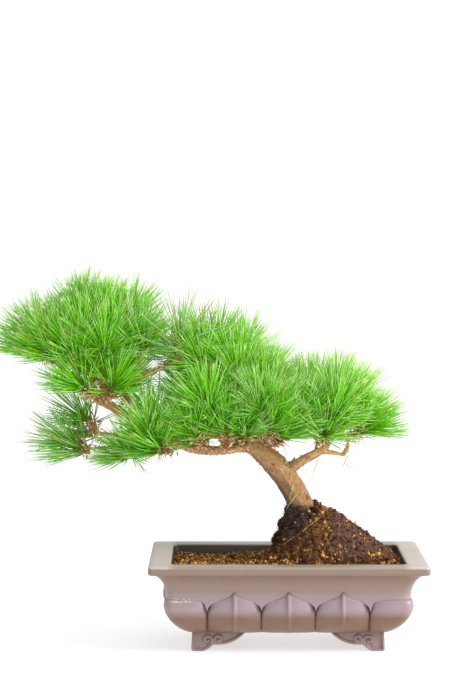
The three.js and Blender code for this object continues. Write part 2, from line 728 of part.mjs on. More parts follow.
/**
 * A shoot's needles, one on each face of its core that points up the core, from the top row
 * down. They open from the core's own direction at its tip to the widest spread at its foot.
 * A needle that has no room is tried again a little further astray, and in the end left out.
 */
function layNeedles(shoot, owner, obstacles, random) {
  const wanted = shoot.needles ?? NEEDLES_PER_SPRAY;
  const reach = shoot.reach ?? NEEDLE_LENGTH;
  const narrowest = 11;
  const widest = shoot.spread ?? WIDEST_SPREAD;
  const droop = shoot.droop ?? DROOP;
  const attempts = 70;
  const turn = new THREE.Quaternion().setFromUnitVectors(vec(0, 1, 0), shoot.aim);
  const back = turn.clone().invert();
  const rings = coreRings();
  const needles = [];
  for (let row = CORE_ROWS - 1; row >= 1; row -= 1) {
    const openness = 1 - (row - 1) / (CORE_ROWS - 2);
    for (let side = 0; side < CORE_SIDES && needles.length < wanted; side += 1) {
      const face = [rings[row][side], rings[row][(side + 1) % CORE_SIDES], rings[row + 1][side]];
      const root = face[0].clone().add(face[1]).add(face[2]).divideScalar(3);
      const outward = Math.atan2(-root.z, root.x);
      for (let attempt = 0; attempt < attempts; attempt += 1) {
        const stray = (random() - 0.5) * (12 + 0.45 * attempt);
        const tilt = THREE.MathUtils.degToRad(mix(narrowest, widest, openness) + stray);
        const swing = THREE.MathUtils.degToRad((random() - 0.5) * (14 + 0.5 * attempt));
        const direction = vec(
          Math.sin(tilt) * Math.cos(outward + swing),
          Math.cos(tilt),
          -Math.sin(tilt) * Math.sin(outward + swing),
        ).applyQuaternion(turn);
        direction.z *= direction.z < 0 ? droop : 1;
        direction.normalize();
        const from = root.clone().applyQuaternion(turn).add(shoot.foot);
        const to = from.clone().addScaledVector(direction, reach * mix(0.88, 1.06, random()));
        const needle = { from, to, radius: NEEDLE_RADIUS, endRadius: 0, owner };
        if (isClear(needle, obstacles)) {
          obstacles.push(needle);
          needles.push({ row, side, tip: to.clone().sub(shoot.foot).applyQuaternion(back) });
          break;
        }
      }
    }
  }
  return needles;
}

/** A spray: a slim core with a needle drawn out of each face that has one. */
function spraySolid(shoot, needles) {
  const rings = coreRings();
  const points = rings.flat();
  const at = (row, side) => row * CORE_SIDES + (side % CORE_SIDES);
  const faces = [];
  const bottom = points.push(vec(0, 0, 0)) - 1;
  const bud = points.push(vec(0, CORE_LENGTH + BUD_LENGTH, 0)) - 1;
  for (let side = 0; side < CORE_SIDES; side += 1) {
    faces.push(bottom, at(0, side + 1), at(0, side));
    faces.push(bud, at(CORE_ROWS, side), at(CORE_ROWS, side + 1));
    for (let row = 0; row < CORE_ROWS; row += 1) {
      const [a, b] = [at(row, side), at(row, side + 1)];
      const [c, d] = [at(row + 1, side), at(row + 1, side + 1)];
      const needle = needles.find((one) => one.row === row && one.side === side);
      if (needle) {
        const tip = points.push(needle.tip) - 1;
        faces.push(a, b, tip, b, c, tip, c, a, tip);
      } else {
        faces.push(a, b, c);
      }
      faces.push(c, b, d);
    }
  }
  const geometry = new THREE.BufferGeometry().setFromPoints(points);
  geometry.setIndex(faces);
  return toSolid(aimed(geometry, shoot.aim.clone().multiplyScalar(GAP), shoot.aim));
}

// ---------------------------------------------------------------- the whole

const shoots = SHOOTS.map((shoot) => ({
  ...shoot,
  foot: vec(...shoot.at),
  aim: vec(...shoot.aim).normalize(),
}));

const limbPaths = Object.values(LIMBS);
const obstacles = limbPaths.flatMap((path) => stretchesOf(path, 3 * (path.length - 1)));
const twigPaths = growTwigs(shoots, obstacles);

/** All the wood in one piece. Grown by a gap, its foot is the hole that the root ball leaves. */
function woodSolid(grow) {
  const random = randomStream(SEED);
  const foot = [
    tubeSolid(LIMBS.trunk, 9, 18, grow, 0.1, random),
    ...ROOTS.map((path) => tubeSolid(path, 5, 4, grow)),
  ];
  const rest = grow > 0 ? [] : [
    ...limbPaths.slice(1).map((path) => tubeSolid(path, 6, path.length, 0, 0.06, random)),
    ...twigPaths.map((path) => tubeSolid(path, 4, path.length - 1)),
  ];
  return [...foot, ...rest].reduce((solid, piece) => solid.add(piece));
}

const planter = new THREE.Group();
planter.add(toMesh("pot", potSolid(), clay));

const meshSolid = drainageMesh();
const pocketRadius = MESH_RADIUS + 1;
const pocketTopZ = FLOOR_Z + MESH_THICKNESS + 2 * GAP;
let bed = innerSpace(GAP, POT_HEIGHT).intersect(unevenSlab());
bed = bed.subtract(rootBall(GAP, randomStream(SEED)));
[["left", -DRAIN_OFFSET], ["right", DRAIN_OFFSET]].forEach(([side, x]) => {
  const mesh = toMesh(`drainage_mesh_${side}`, meshSolid, plastic);
  mesh.position.set(x, 0, FLOOR_Z + GAP);
  planter.add(mesh);
  bed = bed.subtract(post(pocketRadius, FOOT_HEIGHT, pocketTopZ, x));
});
planter.add(toMesh("soil_bed", bed, soil));

const ball = rootBall(0, randomStream(SEED)).subtract(woodSolid(GAP));
planter.add(toMesh("root_ball", ball, rootSoil));

const tree = new THREE.Group();
tree.add(toMesh("trunk", woodSolid(0), bark));

shoots.forEach((shoot, owner) => {
  obstacles.push({ ...coreOf(shoot), owner, isCore: true });
});
const random = randomStream(SEED + 1);
shoots.forEach((shoot, owner) => {
  const needles = layNeedles(shoot, owner, obstacles, random);
  const number = String(owner + 1).padStart(2, "0");
  const spray = toMesh(`needle_spray_${number}`, spraySolid(shoot, needles), foliage);
  spray.position.copy(shoot.foot);
  tree.add(spray);
});

const bonsai = new THREE.Group();
bonsai.add(planter, tree);
const box = new THREE.Box3().setFromObject(bonsai);
const middle = box.getCenter(vec(0, 0, 0));
bonsai.position.set(-middle.x, -middle.y, -box.min.z);

export default bonsai;
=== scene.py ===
"""A bonsai pine in an unglazed stoneware pot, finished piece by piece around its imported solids.

Metres, +Z up, the pot's long front towards -Y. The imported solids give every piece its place: the
pot, soil and wood are shaped from their boxes and meshes, and the needles grow out of the sprays.
"""

import json
import math

import bpy
import numpy as np
from bpy.props import FloatProperty, FloatVectorProperty, IntProperty, PointerProperty
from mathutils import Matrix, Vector, noise
from mathutils.bvhtree import BVHTree

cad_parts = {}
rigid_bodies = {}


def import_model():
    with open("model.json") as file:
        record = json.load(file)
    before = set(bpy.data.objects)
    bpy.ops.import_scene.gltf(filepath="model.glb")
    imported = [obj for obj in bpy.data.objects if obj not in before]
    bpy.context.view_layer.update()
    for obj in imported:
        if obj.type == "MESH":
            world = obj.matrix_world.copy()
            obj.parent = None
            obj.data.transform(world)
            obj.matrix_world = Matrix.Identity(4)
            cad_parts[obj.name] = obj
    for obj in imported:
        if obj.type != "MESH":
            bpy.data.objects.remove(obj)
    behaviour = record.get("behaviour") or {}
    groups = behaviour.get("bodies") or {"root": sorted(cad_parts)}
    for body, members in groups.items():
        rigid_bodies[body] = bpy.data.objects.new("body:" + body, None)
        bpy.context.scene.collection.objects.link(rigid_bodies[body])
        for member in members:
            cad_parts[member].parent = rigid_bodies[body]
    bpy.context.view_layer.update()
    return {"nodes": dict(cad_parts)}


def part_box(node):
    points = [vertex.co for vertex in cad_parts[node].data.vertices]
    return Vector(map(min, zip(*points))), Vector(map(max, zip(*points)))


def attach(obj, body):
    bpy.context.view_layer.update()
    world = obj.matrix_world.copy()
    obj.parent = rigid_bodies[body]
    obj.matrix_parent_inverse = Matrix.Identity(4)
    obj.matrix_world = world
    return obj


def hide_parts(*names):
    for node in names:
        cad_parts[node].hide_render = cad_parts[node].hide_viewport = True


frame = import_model()

bl_info = {
    "name": "Bonsai Pine in a Pot",
    "version": (1, 0, 0),
    "blender": (4, 5, 0),
    "location": "View3D > Sidebar > Bonsai",
    "description": "Models and finishes a potted bonsai pine around its packed solids",
    "category": "Object",
}

MM = 0.001
GROWTH_MAP = "growth"

POT_LOW, POT_HIGH = (np.array(corner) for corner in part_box("pot"))
BALL_LOW, BALL_HIGH = (np.array(corner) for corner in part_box("root_ball"))
POT_MIDDLE = np.array([*(POT_LOW + POT_HIGH)[:2] / 2, 0.0])
POT_SIZE = POT_HIGH - POT_LOW

# The camera, from the middle of the pot's footprint, and the main light and what it aims at.
CAMERA_PLACE = (-0.0681, -2.538, 0.4726)
CAMERA_PITCH = math.radians(3.07)
FOCAL_PIXELS = 2320
IMAGE_HEIGHT = 675
SENSOR_HEIGHT = 36
KEY_PLACE = (2.3, -1.1, 1.5)
KEY_TARGET = (-60 * MM, 0, 180 * MM)
KEY_SIZE = 1.1
FLOOR_SIZE = 60

# Seeds of the random draws, so that the tree grows the same way each time. The bark's seed is
# for the noise that bends its cracks, and a spray's number is added to that of its side shoots.
BARK_SEED = 7
GRAIN_SEED = 11
FIBRE_SEED = 12
NEEDLE_SEED = 21
SHOOT_SEED = 22
DRY_SEED = 23
SIDE_SHOOT_SEED = 300

# Sprays that go into one piece, by their numbers.
PADS = {
    "left_pad": range(1, 17),
    "low_left_tufts": range(17, 21),
    "crossing_branch": range(21, 23),
    "front_edge": range(23, 34),
    "crown_top": range(34, 43),
    "right_pad": range(43, 50),
    "crown_back": range(50, 55),
}

# Pads whose shoots carry fewer and paler needles, how much longer those are, and how many times
# fewer stand on a side shoot.
SPARSE_PADS = {"low_left_tufts": 1.0, "crossing_branch": 1.2}
SPARSE_DIVISOR = 5

# The range of a shoot's own tint, in sparse pads and elsewhere, and how far its needles vary.
SPARSE_TINTS = (0.62, 0.9)
SHOOT_TINTS = (0, 0.85)
TINT_SPREAD = 0.28
TINT_SHIFT = -0.04

# How much steeper the needles of some pads rise, which bares the feet of their shoots.
PAD_RISE = {"front_edge": 0.32, "left_pad": 0.1}

# Gaps in the crown, above and below the crossing branch, where no side shoot grows: how far
# each lies to the right of the pot's middle, how high, and its radius.
GAPS = MM * np.array([(-138, 284, 34), (-124, 346, 38)])

# The tints of a needle that dies off and of one that hangs loose from a bough.
DYING_TINT = 1.4
LOOSE_TINT = 1.15

# How much higher the side shoots of some pads stand.
SIDE_SHOOT_LIFT = {"left_pad": 7 * MM, "crown_top": 16 * MM, "right_pad": 15 * MM}

# The middle line of the trunk and its long bough, from the soil to the far end.
TRUNK_LINE = MM * np.array([
    (36, 0, 100), (30, 0, 120), (23, 0, 136), (14, 0, 155), (1, -2, 179), (-15, -4, 199),
    (-30, -4, 213), (-44, -2, 223), (-62, 2, 230), (-85, 8, 232), (-113, 10, 229),
    (-140, 6, 229), (-160, 2, 237), (-178, 0, 251), (-195, -4, 263), (-209, -8, 270),
]) + POT_MIDDLE


# ---------------------------------------------------------------- what a user would change

def length(name, description, default):
    return FloatProperty(name=name, description=description, default=default, min=0, unit="LENGTH")


def share(name, description, default):
    return FloatProperty(name=name, description=description, default=default, min=0, max=1)


def colour(name, description, default):
    return FloatVectorProperty(
        name=name, description=description, default=default, subtype="COLOR", size=3, min=0, max=1
    )


class PotSettings(bpy.types.PropertyGroup):
    """Sizes and colours of the pot."""
    foot_height: length("Foot height", "From the table to the bowl", 20 * MM)
    foot_panel: length("Foot panels' depth", "How far a foot's panels lie behind its band",
                       2.2 * MM)
    foot_thickness: length("Foot thickness", "Of each bracket", 13 * MM)
    foot_length: length("Foot length", "Of a bracket along the front", 57.5 * MM)
    foot_return: length("Foot return", "Of a bracket along the end", 36 * MM)
    rim_width: length("Rim width", "Of the flat top of the rim", 24 * MM)
    lip_height: length("Lip height", "Of the upright edge of the rim", 9.5 * MM)
    waist_inset: length("Waist inset", "How far the neck lies behind the rim", 19 * MM)
    waist_height: length("Waist height", "From the table to the neck", 62 * MM)
    belly_inset: length("Belly inset", "How far the petals lie behind the rim", 16 * MM)
    belly_height: length("Belly height", "From the table to the petals' fullest part", 53.4 * MM)
    base_inset: length("Base inset", "How far the bowl's base lies behind the rim", 46.4 * MM)
    floor_height: length("Floor height", "From the table to the inner floor", 29 * MM)
    drain_radius: length("Drain radius", "Of each drainage hole", 11 * MM)
    drain_offset: length("Drain offset", "Of each hole from the pot's middle", 52 * MM)
    body: colour("Clay", "Colour of the fired clay", (0.31, 0.216, 0.168))
    petal: colour("Petals", "Colour of the petals' upper half", (0.335, 0.25, 0.25))
    # The rim colour is a painted reflection of the bright surroundings on the rim top.
    rim: colour("Rim", "Colour of the rim's ends", (0.58, 0.52, 0.45))
    lip: colour("Lip", "Colour of the lip and the front of the rim", (0.245, 0.175, 0.125))
    # The base colour also serves as painted shade under the lip.
    base: colour("Base", "Warmer colour towards the foot", (0.2, 0.1, 0.048))
    # The inside colour is painted shade, the dark of the inner wall above the soil.
    inside: colour("Inside", "Colour of the wetted inner wall", (0.03, 0.024, 0.014))
    scale: colour("Lime", "Colour of the lime specks", (0.75, 0.72, 0.5))


class WoodSettings(bpy.types.PropertyGroup):
    """Sizes and colours of the wood."""
    grain: length("Surface step", "Edge length of the wood's mesh", 0.9 * MM)
    plate: length("Bark plate", "Width of a bark plate", 5.5 * MM)
    fissure: length("Crack", "Depth of the cracks between plates", 0.4 * MM)
    bark: colour("Bark", "Colour of the bark", (0.53, 0.34, 0.16))
    rust: colour("Rust", "Colour of freshly flaked bark", (0.44, 0.18, 0.05))
    # The bark's shade colour: painted shade on its left side, away from the key light.
    shaded_side: colour("Weathered bark", "Colour of the bark's shady side", (0.24, 0.17, 0.12))
    crack: colour("Cracks", "Colour of the gaps between plates", (0.16, 0.085, 0.045))
    twig: colour("Twigs", "Colour of young wood", (0.46, 0.26, 0.11))
    flake: colour("Scales", "Colour of the papery scales", (0.7, 0.42, 0.18))
    paper: colour("Scale edges", "Colour of the scales' dry edges", (0.9, 0.77, 0.58))


class SoilSettings(bpy.types.PropertyGroup):
    """Sizes and colours of the soil and the root ball."""
    step: length("Surface step", "Edge length of the soil's mesh", 1.4 * MM)
    grain: length("Grain", "Usual size of a soil grain", 3.6 * MM)
    bank: length("Bank", "Height of the soil against the root ball", 15 * MM)
    golden: colour("Golden grain", "Colour of the palest grains", (0.7, 0.4, 0.1))
    ochre: colour("Ochre grain", "Colour of most grains", (0.34, 0.15, 0.035))
    umber: colour("Umber grain", "Colour of the darkest grains", (0.07, 0.028, 0.01))
    earth: colour("Earth", "Colour of the root ball", (0.132, 0.06, 0.027))
    felt: colour("Felt", "Colour of the finest roots' felt", (0.15, 0.088, 0.08))
    fibre: colour("Root fibres", "Colour of fine dead roots", (0.062, 0.045, 0.04))
    bed: colour("Bed", "Colour between the grains", (0.045, 0.02, 0.008))
    straw: colour("Straw", "Colour of a dry stalk on the root ball", (0.5, 0.36, 0.17))


class NeedleSettings(bpy.types.PropertyGroup):
    """Number, size and colours of the needles."""
    pairs: IntProperty(name="Pairs", description="Pairs of needles for each of a spray's own",
                       default=2, min=1, max=8)
    side_shoots: IntProperty(name="Side shoots", description="Smaller shoots beside each spray",
                             default=2, min=0, max=4)
    side_pairs: IntProperty(name="Side pairs", description="Pairs of needles on a side shoot",
                            default=33, min=1, max=80)
    length: length("Needle length", "Of a full-grown needle", 57 * MM)
    width: length("Needle width", "Across a needle", 1.1 * MM)
    droop: share("Droop", "How far needles below the level keep their slope", 0.4)
    dying: share("Dying", "Share of needles that turn brown", 0.025)
    spread: FloatProperty(name="Spread", description="How far a pair strays from its needle",
                          default=math.radians(9), subtype="ANGLE")
    fork: FloatProperty(name="Fork", description="Angle between the two needles of a pair",
                        default=math.radians(4.5), subtype="ANGLE")
    # The needle root is deep green, made darker still as painted shade deep in the crown.
    root: colour("Needle root", "Colour near the shoot", (0.14, 0.42, 0.002))
    blade: colour("Needle", "Colour of most of a needle", (0.21, 0.62, 0.014))
    # The needle tip is pale yellow green, made paler still as a painted highlight.
    tip: colour("Needle tip", "Colour of the tip", (0.68, 0.85, 0.38))
    cool: colour("Cool needle", "Colour of the bluest needles", (0.6, 0.86, 0.46))
    glow: colour("Glow", "Light that a needle lets through", (0.007, 0.04, 0.0))
    sheath: colour("Sheath", "Colour of the papery sheath", (0.33, 0.2, 0.09))
    dry: colour("Dry needle", "Colour of dead needles", (0.52, 0.25, 0.06))


class StageSettings(bpy.types.PropertyGroup):
    """Light and floor."""
    sky: FloatProperty(name="Sky", description="Strength of the even light", default=0.85, min=0)
    key: FloatProperty(name="Key light", description="Power of the main light", default=88, min=0,
                       unit="POWER")
    key_colour: colour("Key colour", "Colour of the main light", (0.95, 0.89, 1.0))
    floor: colour("Floor", "Colour of the lit table top", (0.45, 0.45, 0.46))
    glow: FloatProperty(name="Glow", description="Light that the table top gives off itself",
                        default=0.62, min=0)


# ---------------------------------------------------------------- finishes

class Number:
    """A number that runs through shader nodes. Arithmetic on it adds the nodes that do the sum."""

    def __init__(self, nodes, socket):
        self.nodes = nodes
        self.socket = socket

    def __add__(self, other):
        return self.nodes.math("ADD", self, other)

    __radd__ = __add__

    def __sub__(self, other):
        return self.nodes.math("SUBTRACT", self, other)

    def __rsub__(self, other):
        return self.nodes.math("SUBTRACT", other, self)

    def __mul__(self, other):
        return self.nodes.math("MULTIPLY", self, other)

    __rmul__ = __mul__

    def __abs__(self):
        return self.nodes.math("ABSOLUTE", self)

    def rise(self, low, high):
        """0 below low, 1 above high and smooth between; falls instead where low is above high."""
        return self.nodes.node(
            "ShaderNodeMapRange", {"interpolation_type": "SMOOTHSTEP"},
            Value=self, From_Min=low, From_Max=high,
        )


class Nodes:
    """The shader nodes of a material or a world."""

    def __init__(self, tree, coordinates):
        self.tree = tree
        self.place = self.node("ShaderNodeTexCoord", {}, coordinates)

    def node(self, kind, settings, output=0, **sockets):
        """A node of a kind: its settings first, then the values or links of its sockets."""
        node = self.tree.nodes.new(kind)
        for name, value in settings.items():
            setattr(node, name, value)
        for name, value in sockets.items():
            self.join(value, node.inputs[name.replace("_", " ")])
        return Number(self, node.outputs[output])

    def join(self, value, socket):
        if isinstance(value, Number):
            self.tree.links.new(value.socket, socket)
        elif socket.type == "RGBA":
            socket.default_value = (*value, 1) if len(value) == 3 else value
        else:
            socket.default_value = value

    def math(self, operation, *values):
        node = self.tree.nodes.new("ShaderNodeMath")
        node.operation = operation
        for value, socket in zip(values, node.inputs):
            self.join(value, socket)
        return Number(self, node.outputs[0])

    def parts(self, vector, names="XYZ"):
        return [self.node("ShaderNodeSeparateXYZ", {}, name, Vector=vector) for name in names]


class Finish(Nodes):
    """A material with one Principled shader, and the node work that colours it."""

    def __init__(self, name, **constants):
        self.material = bpy.data.materials.new(name)
        self.material.use_nodes = True
        super().__init__(self.material.node_tree, "Object")
        self.shader = self.tree.nodes["Principled BSDF"]
        for socket, value in constants.items():
            self.shader.inputs[socket.replace("_", " ")].default_value = value

    def axis(self, name):
        """One object coordinate, from the middle of the pot's footprint."""
        middle = dict(zip("XYZ", POT_MIDDLE))[name]
        return self.node("ShaderNodeSeparateXYZ", {}, name, Vector=self.place) - float(middle)

    def growth(self):
        """A strand's or grain's own tint, and the share of its length from its root."""
        return self.parts(self.node("ShaderNodeUVMap", {"uv_map": GROWTH_MAP}), "XY")

    def attribute(self, name):
        return self.node("ShaderNodeAttribute", {"attribute_name": name}, "Fac")

    def stretched(self, scale):
        """Object coordinates scaled along each axis."""
        return self.node("ShaderNodeMapping", {}, Vector=self.place, Scale=scale)

    def noise(self, size, detail=3, roughness=0.55, place=None):
        """Cloudy noise from 0 to 1 whose patches are about a size across."""
        return self.node(
            "ShaderNodeTexNoise", {}, "Fac",
            Vector=place or self.place, Scale=1 / size, Detail=detail, Roughness=roughness,
        )

    def cells(self, size, output="Distance", place=None):
        return self.node(
            "ShaderNodeTexVoronoi", {}, output, Vector=place or self.place, Scale=1 / size
        )

    def blend(self, one, other, factor):
        """One colour turning into another as the factor goes from 0 to 1."""
        node = self.tree.nodes.new("ShaderNodeMix")
        node.data_type = "RGBA"
        self.join(factor, node.inputs[0])
        self.join(one, node.inputs[6])
        self.join(other, node.inputs[7])
        return Number(self, node.outputs[2])

    def shade(self, one, factor):
        """A colour made darker or lighter by a number near 1."""
        node = self.tree.nodes.new("ShaderNodeVectorMath")
        node.operation = "SCALE"
        self.join(one, node.inputs[0])
        self.join(factor, node.inputs["Scale"])
        return Number(self, node.outputs[0])

    def done(self, base, roughness=None, height=None, depth=0.1 * MM):
        """Links the colour, and the roughness and relief if they vary, and gives the material."""
        self.join(base, self.shader.inputs["Base Color"])
        if roughness is not None:
            self.join(roughness, self.shader.inputs["Roughness"])
        if height is not None:
            bump = self.node("ShaderNodeBump", {}, Height=height, Distance=depth, Strength=1.0)
            self.join(bump, self.shader.inputs["Normal"])
        return self.material


def clay_finish(pot):
    """Fired clay: warm below, greyer petals, dark lip, lime in the neck; painted shade under the
    lip and inside, a painted reflection on the rim top.
    """
    finish = Finish("unglazed_clay", Specular_IOR_Level=0.5, Coat_Weight=0.55,
                    Coat_Roughness=0.38)
    x, y, z = (finish.axis(name) for name in "XYZ")
    half = POT_SIZE / 2
    inner = finish.math("MAXIMUM", abs(x) - float(half[0]), abs(y) - float(half[1])) + pot.rim_width
    rim_height = float(POT_SIZE[2])
    mottle = finish.noise(22 * MM, 4, 0.6)
    grit = finish.noise(1.1 * MM, 2, 0.7)
    streaks = finish.noise(3 * MM, 3, 0.6, finish.stretched((0.12, 0.5, 1)))
    petals = z.rise(70 * MM, 64 * MM)
    colour = finish.blend(pot.body, pot.petal, petals)
    low = z.rise(50 * MM, 38 * MM) * (0.3 + 0.7 * z.rise(16 * MM, 23 * MM))
    colour = finish.blend(colour, pot.base, low * (0.7 + 0.55 * mottle))
    # Painted shade: the neck under the overhanging lip darkens towards the base colour.
    shade_under_lip = z.rise(rim_height - 26 * MM, rim_height - 11 * MM)
    colour = finish.blend(colour, pot.base, shade_under_lip * 0.6)
    colour = finish.blend(colour, pot.lip, z.rise(rim_height - 10 * MM, rim_height - 7 * MM))
    # Painted reflection: the rim top pales towards the rim colour, most at the pot's ends.
    top = z.rise(rim_height - 3 * MM, rim_height - 0.5 * MM)
    ends = abs(x).rise(float(half[0]) - 30 * MM, float(half[0]) - 18 * MM)
    colour = finish.blend(colour, pot.rim, top * (0.25 + 0.6 * ends) * (0.7 + 0.5 * streaks))
    # Painted shade: the inner wall above the soil turns to the inside colour.
    wall = inner.rise(1.4 * MM, 0.2 * MM) * z.rise(rim_height - 0.2 * MM, rim_height - 2.5 * MM)
    wall = wall * z.rise(48 * MM, 52 * MM)
    colour = finish.blend(colour, pot.inside, wall * 0.94)
    crumbly = finish.noise(2.6 * MM, 3, 0.7)
    crust = crumbly.rise(0.6, 0.68)
    patches = finish.noise(26 * MM, 1, 0.5).rise(0.5, 0.62)
    under_rim = z.rise(83 * MM, 86 * MM) * z.rise(90 * MM, 88 * MM)
    shelf = z.rise(56.5 * MM, 58.5 * MM) * z.rise(63 * MM, 61 * MM) * x.rise(-94 * MM, -112 * MM)
    ledge = crumbly.rise(0.42, 0.6) * shelf * 0.75
    lime = finish.math("MAXIMUM", crust * under_rim * patches, ledge)
    colour = finish.blend(colour, pot.scale, finish.math("MINIMUM", lime * 0.8, 1.0))
    colour = finish.shade(colour, 0.86 + 0.14 * mottle + 0.12 * grit)
    roughness = 0.4 + 0.16 * mottle + 0.3 * lime
    return finish.done(colour, roughness, grit + 1.5 * lime + 0.6 * streaks, 0.08 * MM)


def bark_finish(wood, soil):
    """Flaky bark with rusty patches and dark cracks, smooth on twigs, earthy at the foot, painted
    shade on its left side and painted light higher up.
    """
    finish = Finish("bark", Roughness=0.85, Specular_IOR_Level=0.25)
    girth = finish.attribute("girth")
    plate = finish.attribute("plate")
    tone = finish.attribute("tone")
    patches = finish.noise(11 * MM, 3, 0.6)
    fine = finish.noise(1.3 * MM, 4, 0.8)
    flakes = finish.cells(2.4 * MM, "Color", finish.stretched((1, 1, 0.5)))
    flakes = finish.node("ShaderNodeSeparateColor", {}, "Red", Color=flakes)
    old = girth.rise(7 * MM, 15 * MM)
    rust = (0.55 * tone + 0.45 * patches).rise(0.43, 0.62)
    thick = finish.blend(wood.bark, wood.rust, finish.math("MINIMUM", rust * (0.4 + flakes), 0.85))
    # Painted shade: bark facing left, away from the key light, turns to the shaded colour.
    thick = finish.blend(thick, wood.shaded_side, finish.attribute("shady") * 0.8)
    thick = finish.blend(wood.crack, thick, plate.rise(0.0, 0.8))
    thin = finish.blend(wood.twig, wood.flake, patches.rise(0.4, 0.65))
    colour = finish.blend(thin, thick, old)
    foot = finish.axis("Z").rise(160 * MM, 140 * MM)
    colour = finish.blend(colour, soil.fibre, foot * (0.6 + 0.4 * patches))
    lit = finish.axis("Z").rise(160 * MM, 215 * MM)
    blotches = (0.5 * tone + 0.5 * patches).rise(0.3, 0.7)
    light = 0.52 * lit + 1.4 * fine + 0.5 * blotches + 0.35 * flakes - 0.33
    return finish.done(finish.shade(colour, light), None, fine + 0.5 * patches + 0.3 * flakes,
                       0.6 * MM)


def earth_finish(soil):
    """Crumbly soil of the root ball, darker under its mat and felt of roots."""
    finish = Finish("root_earth", Roughness=0.95, Specular_IOR_Level=0.15)
    clumps = finish.noise(7 * MM, 4, 0.65)
    crumbs = finish.cells(2.2 * MM)
    hairs = finish.noise(0.8 * MM, 3, 0.75, finish.stretched((1, 1, 0.3)))
    fibrous = finish.attribute("fibrous")
    colour = finish.blend(soil.earth, soil.ochre, clumps.rise(0.45, 0.64) * 0.7)
    colour = finish.blend(colour, soil.felt, finish.attribute("felt") * 0.65)
    colour = finish.blend(colour, soil.fibre, fibrous)
    colour = finish.shade(colour, clumps + 0.35 * crumbs + 0.9 * hairs - 0.3)
    return finish.done(colour, None, crumbs + 1.6 * hairs + clumps, 0.7 * MM)


def bed_finish(soil):
    """The dark soil between the grains."""
    finish = Finish("soil_bed", Roughness=1.0, Specular_IOR_Level=0.1)
    crumbs = finish.cells(1.8 * MM)
    colour = finish.blend(soil.bed, soil.umber, crumbs.rise(0.2, 0.8))
    return finish.done(colour, None, crumbs, 0.5 * MM)


def grain_finish(soil, name, paleness):
    """Grains from umber through ochre to golden, more of them pale where paleness is higher."""
    finish = Finish(name, Roughness=0.9, Specular_IOR_Level=0.2)
    tint, _ = finish.growth()
    blotch = finish.noise(1.6 * MM, 3, 0.65)
    pale = tint + (blotch - 0.5) * 0.5 + (paleness - 0.5)
    colour = finish.blend(soil.umber, soil.ochre, pale.rise(0.15, 0.5))
    colour = finish.blend(colour, soil.golden, pale.rise(0.5, 0.8))
    colour = finish.shade(colour, 0.75 + 0.5 * blotch)
    return finish.done(colour, None, finish.noise(0.7 * MM, 2, 0.6), 0.12 * MM)


def needle_finish(needles):
    """Needles with a papery sheath, a deep green root darkened by painted shade, a bright blade and
    a pale tip paled further as painted highlight.
    """
    finish = Finish("needles", Roughness=0.5, Specular_IOR_Level=0.18,
                    Emission_Color=(*needles.glow, 1), Emission_Strength=1.0)
    tint, along = finish.growth()
    blade = finish.blend(needles.blade, needles.cool, tint.rise(0.75, 1.05))
    blade = finish.blend(blade, needles.tip, tint.rise(0.3, 0.0) * 0.4)
    dying = tint.rise(1.1, 1.3)
    blade = finish.blend(blade, needles.dry, dying)
    # Painted shade darkens the needles towards their roots; a painted highlight pales their tips.
    colour = finish.blend(needles.root, blade, along.rise(0.1, 0.5))
    colour = finish.blend(colour, needles.tip, along.rise(0.65, 1.0) * (0.75 - 0.75 * dying))
    colour = finish.blend(needles.sheath, colour, along.rise(0.05, 0.1))
    colour = finish.shade(colour, finish.math("MAXIMUM", 1.22 - 0.42 * tint, 0.78))
    return finish.done(colour)


def dry_finish(needles, wood):
    """Dead needles, from straw to brown."""
    finish = Finish("dry_needles", Roughness=0.75, Specular_IOR_Level=0.2)
    tint, along = finish.growth()
    colour = finish.blend(needles.dry, wood.flake, tint)
    colour = finish.blend(colour, needles.sheath, along.rise(0.5, 1.0))
    return finish.done(finish.shade(colour, 0.7 + 0.6 * tint))


def scale_finish(wood):
    """Papery scales with pale dry edges."""
    finish = Finish("papery_scales", Roughness=0.7, Specular_IOR_Level=0.25)
    tint, along = finish.growth()
    colour = finish.blend(wood.twig, wood.flake, (tint * 0.6 + along * 0.6).rise(0.15, 0.6))
    colour = finish.blend(colour, wood.paper, along.rise(0.3, 0.9) * tint.rise(0.2, 0.75))
    return finish.done(finish.shade(colour, 0.82 + 0.5 * tint))


def fibre_finish(soil):
    """Fine dead roots, some of them dusty."""
    finish = Finish("root_fibres", Roughness=0.9, Specular_IOR_Level=0.15)
    tint, along = finish.growth()
    colour = finish.blend(soil.fibre, soil.earth, tint.rise(0.3, 0.7))
    colour = finish.blend(colour, soil.ochre, tint.rise(0.8, 1.0) * 0.8)
    return finish.done(finish.shade(colour, 0.7 + 0.8 * tint + 0.2 * along))


def straw_finish(soil):
    """A dry stalk, bleached in patches."""
    finish = Finish("straw", Roughness=0.7, Specular_IOR_Level=0.3)
    tone = finish.noise(6 * MM, 3, 0.6)
    return finish.done(finish.blend(soil.ochre, soil.straw, tone.rise(0.3, 0.6)))


def plastic_finish():
    """Dusty dark plastic."""
    finish = Finish("mesh_plastic", Roughness=0.5)
    dust = finish.noise(5 * MM, 3, 0.6)
    colour = finish.blend((0.02, 0.02, 0.02), (0.09, 0.07, 0.05), dust.rise(0.45, 0.7))
    return finish.done(colour, 0.4 + 0.4 * dust, dust, 0.05 * MM)


# ---------------------------------------------------------------- modelling helpers

def clear_selection():
    bpy.ops.object.select_all(action="DESELECT")


def select_everything():
    """Selects the whole mesh that is being edited."""
    bpy.ops.mesh.select_all(action="SELECT")


def take(piece):
    """Makes a piece the only selected object and the active one."""
    clear_selection()
    piece.select_set(True)
    bpy.context.view_layer.objects.active = piece


def points_of(piece, kind="co"):
    points = np.empty(len(piece.data.vertices) * 3)
    piece.data.vertices.foreach_get(kind, points)
    return points.reshape(-1, 3)


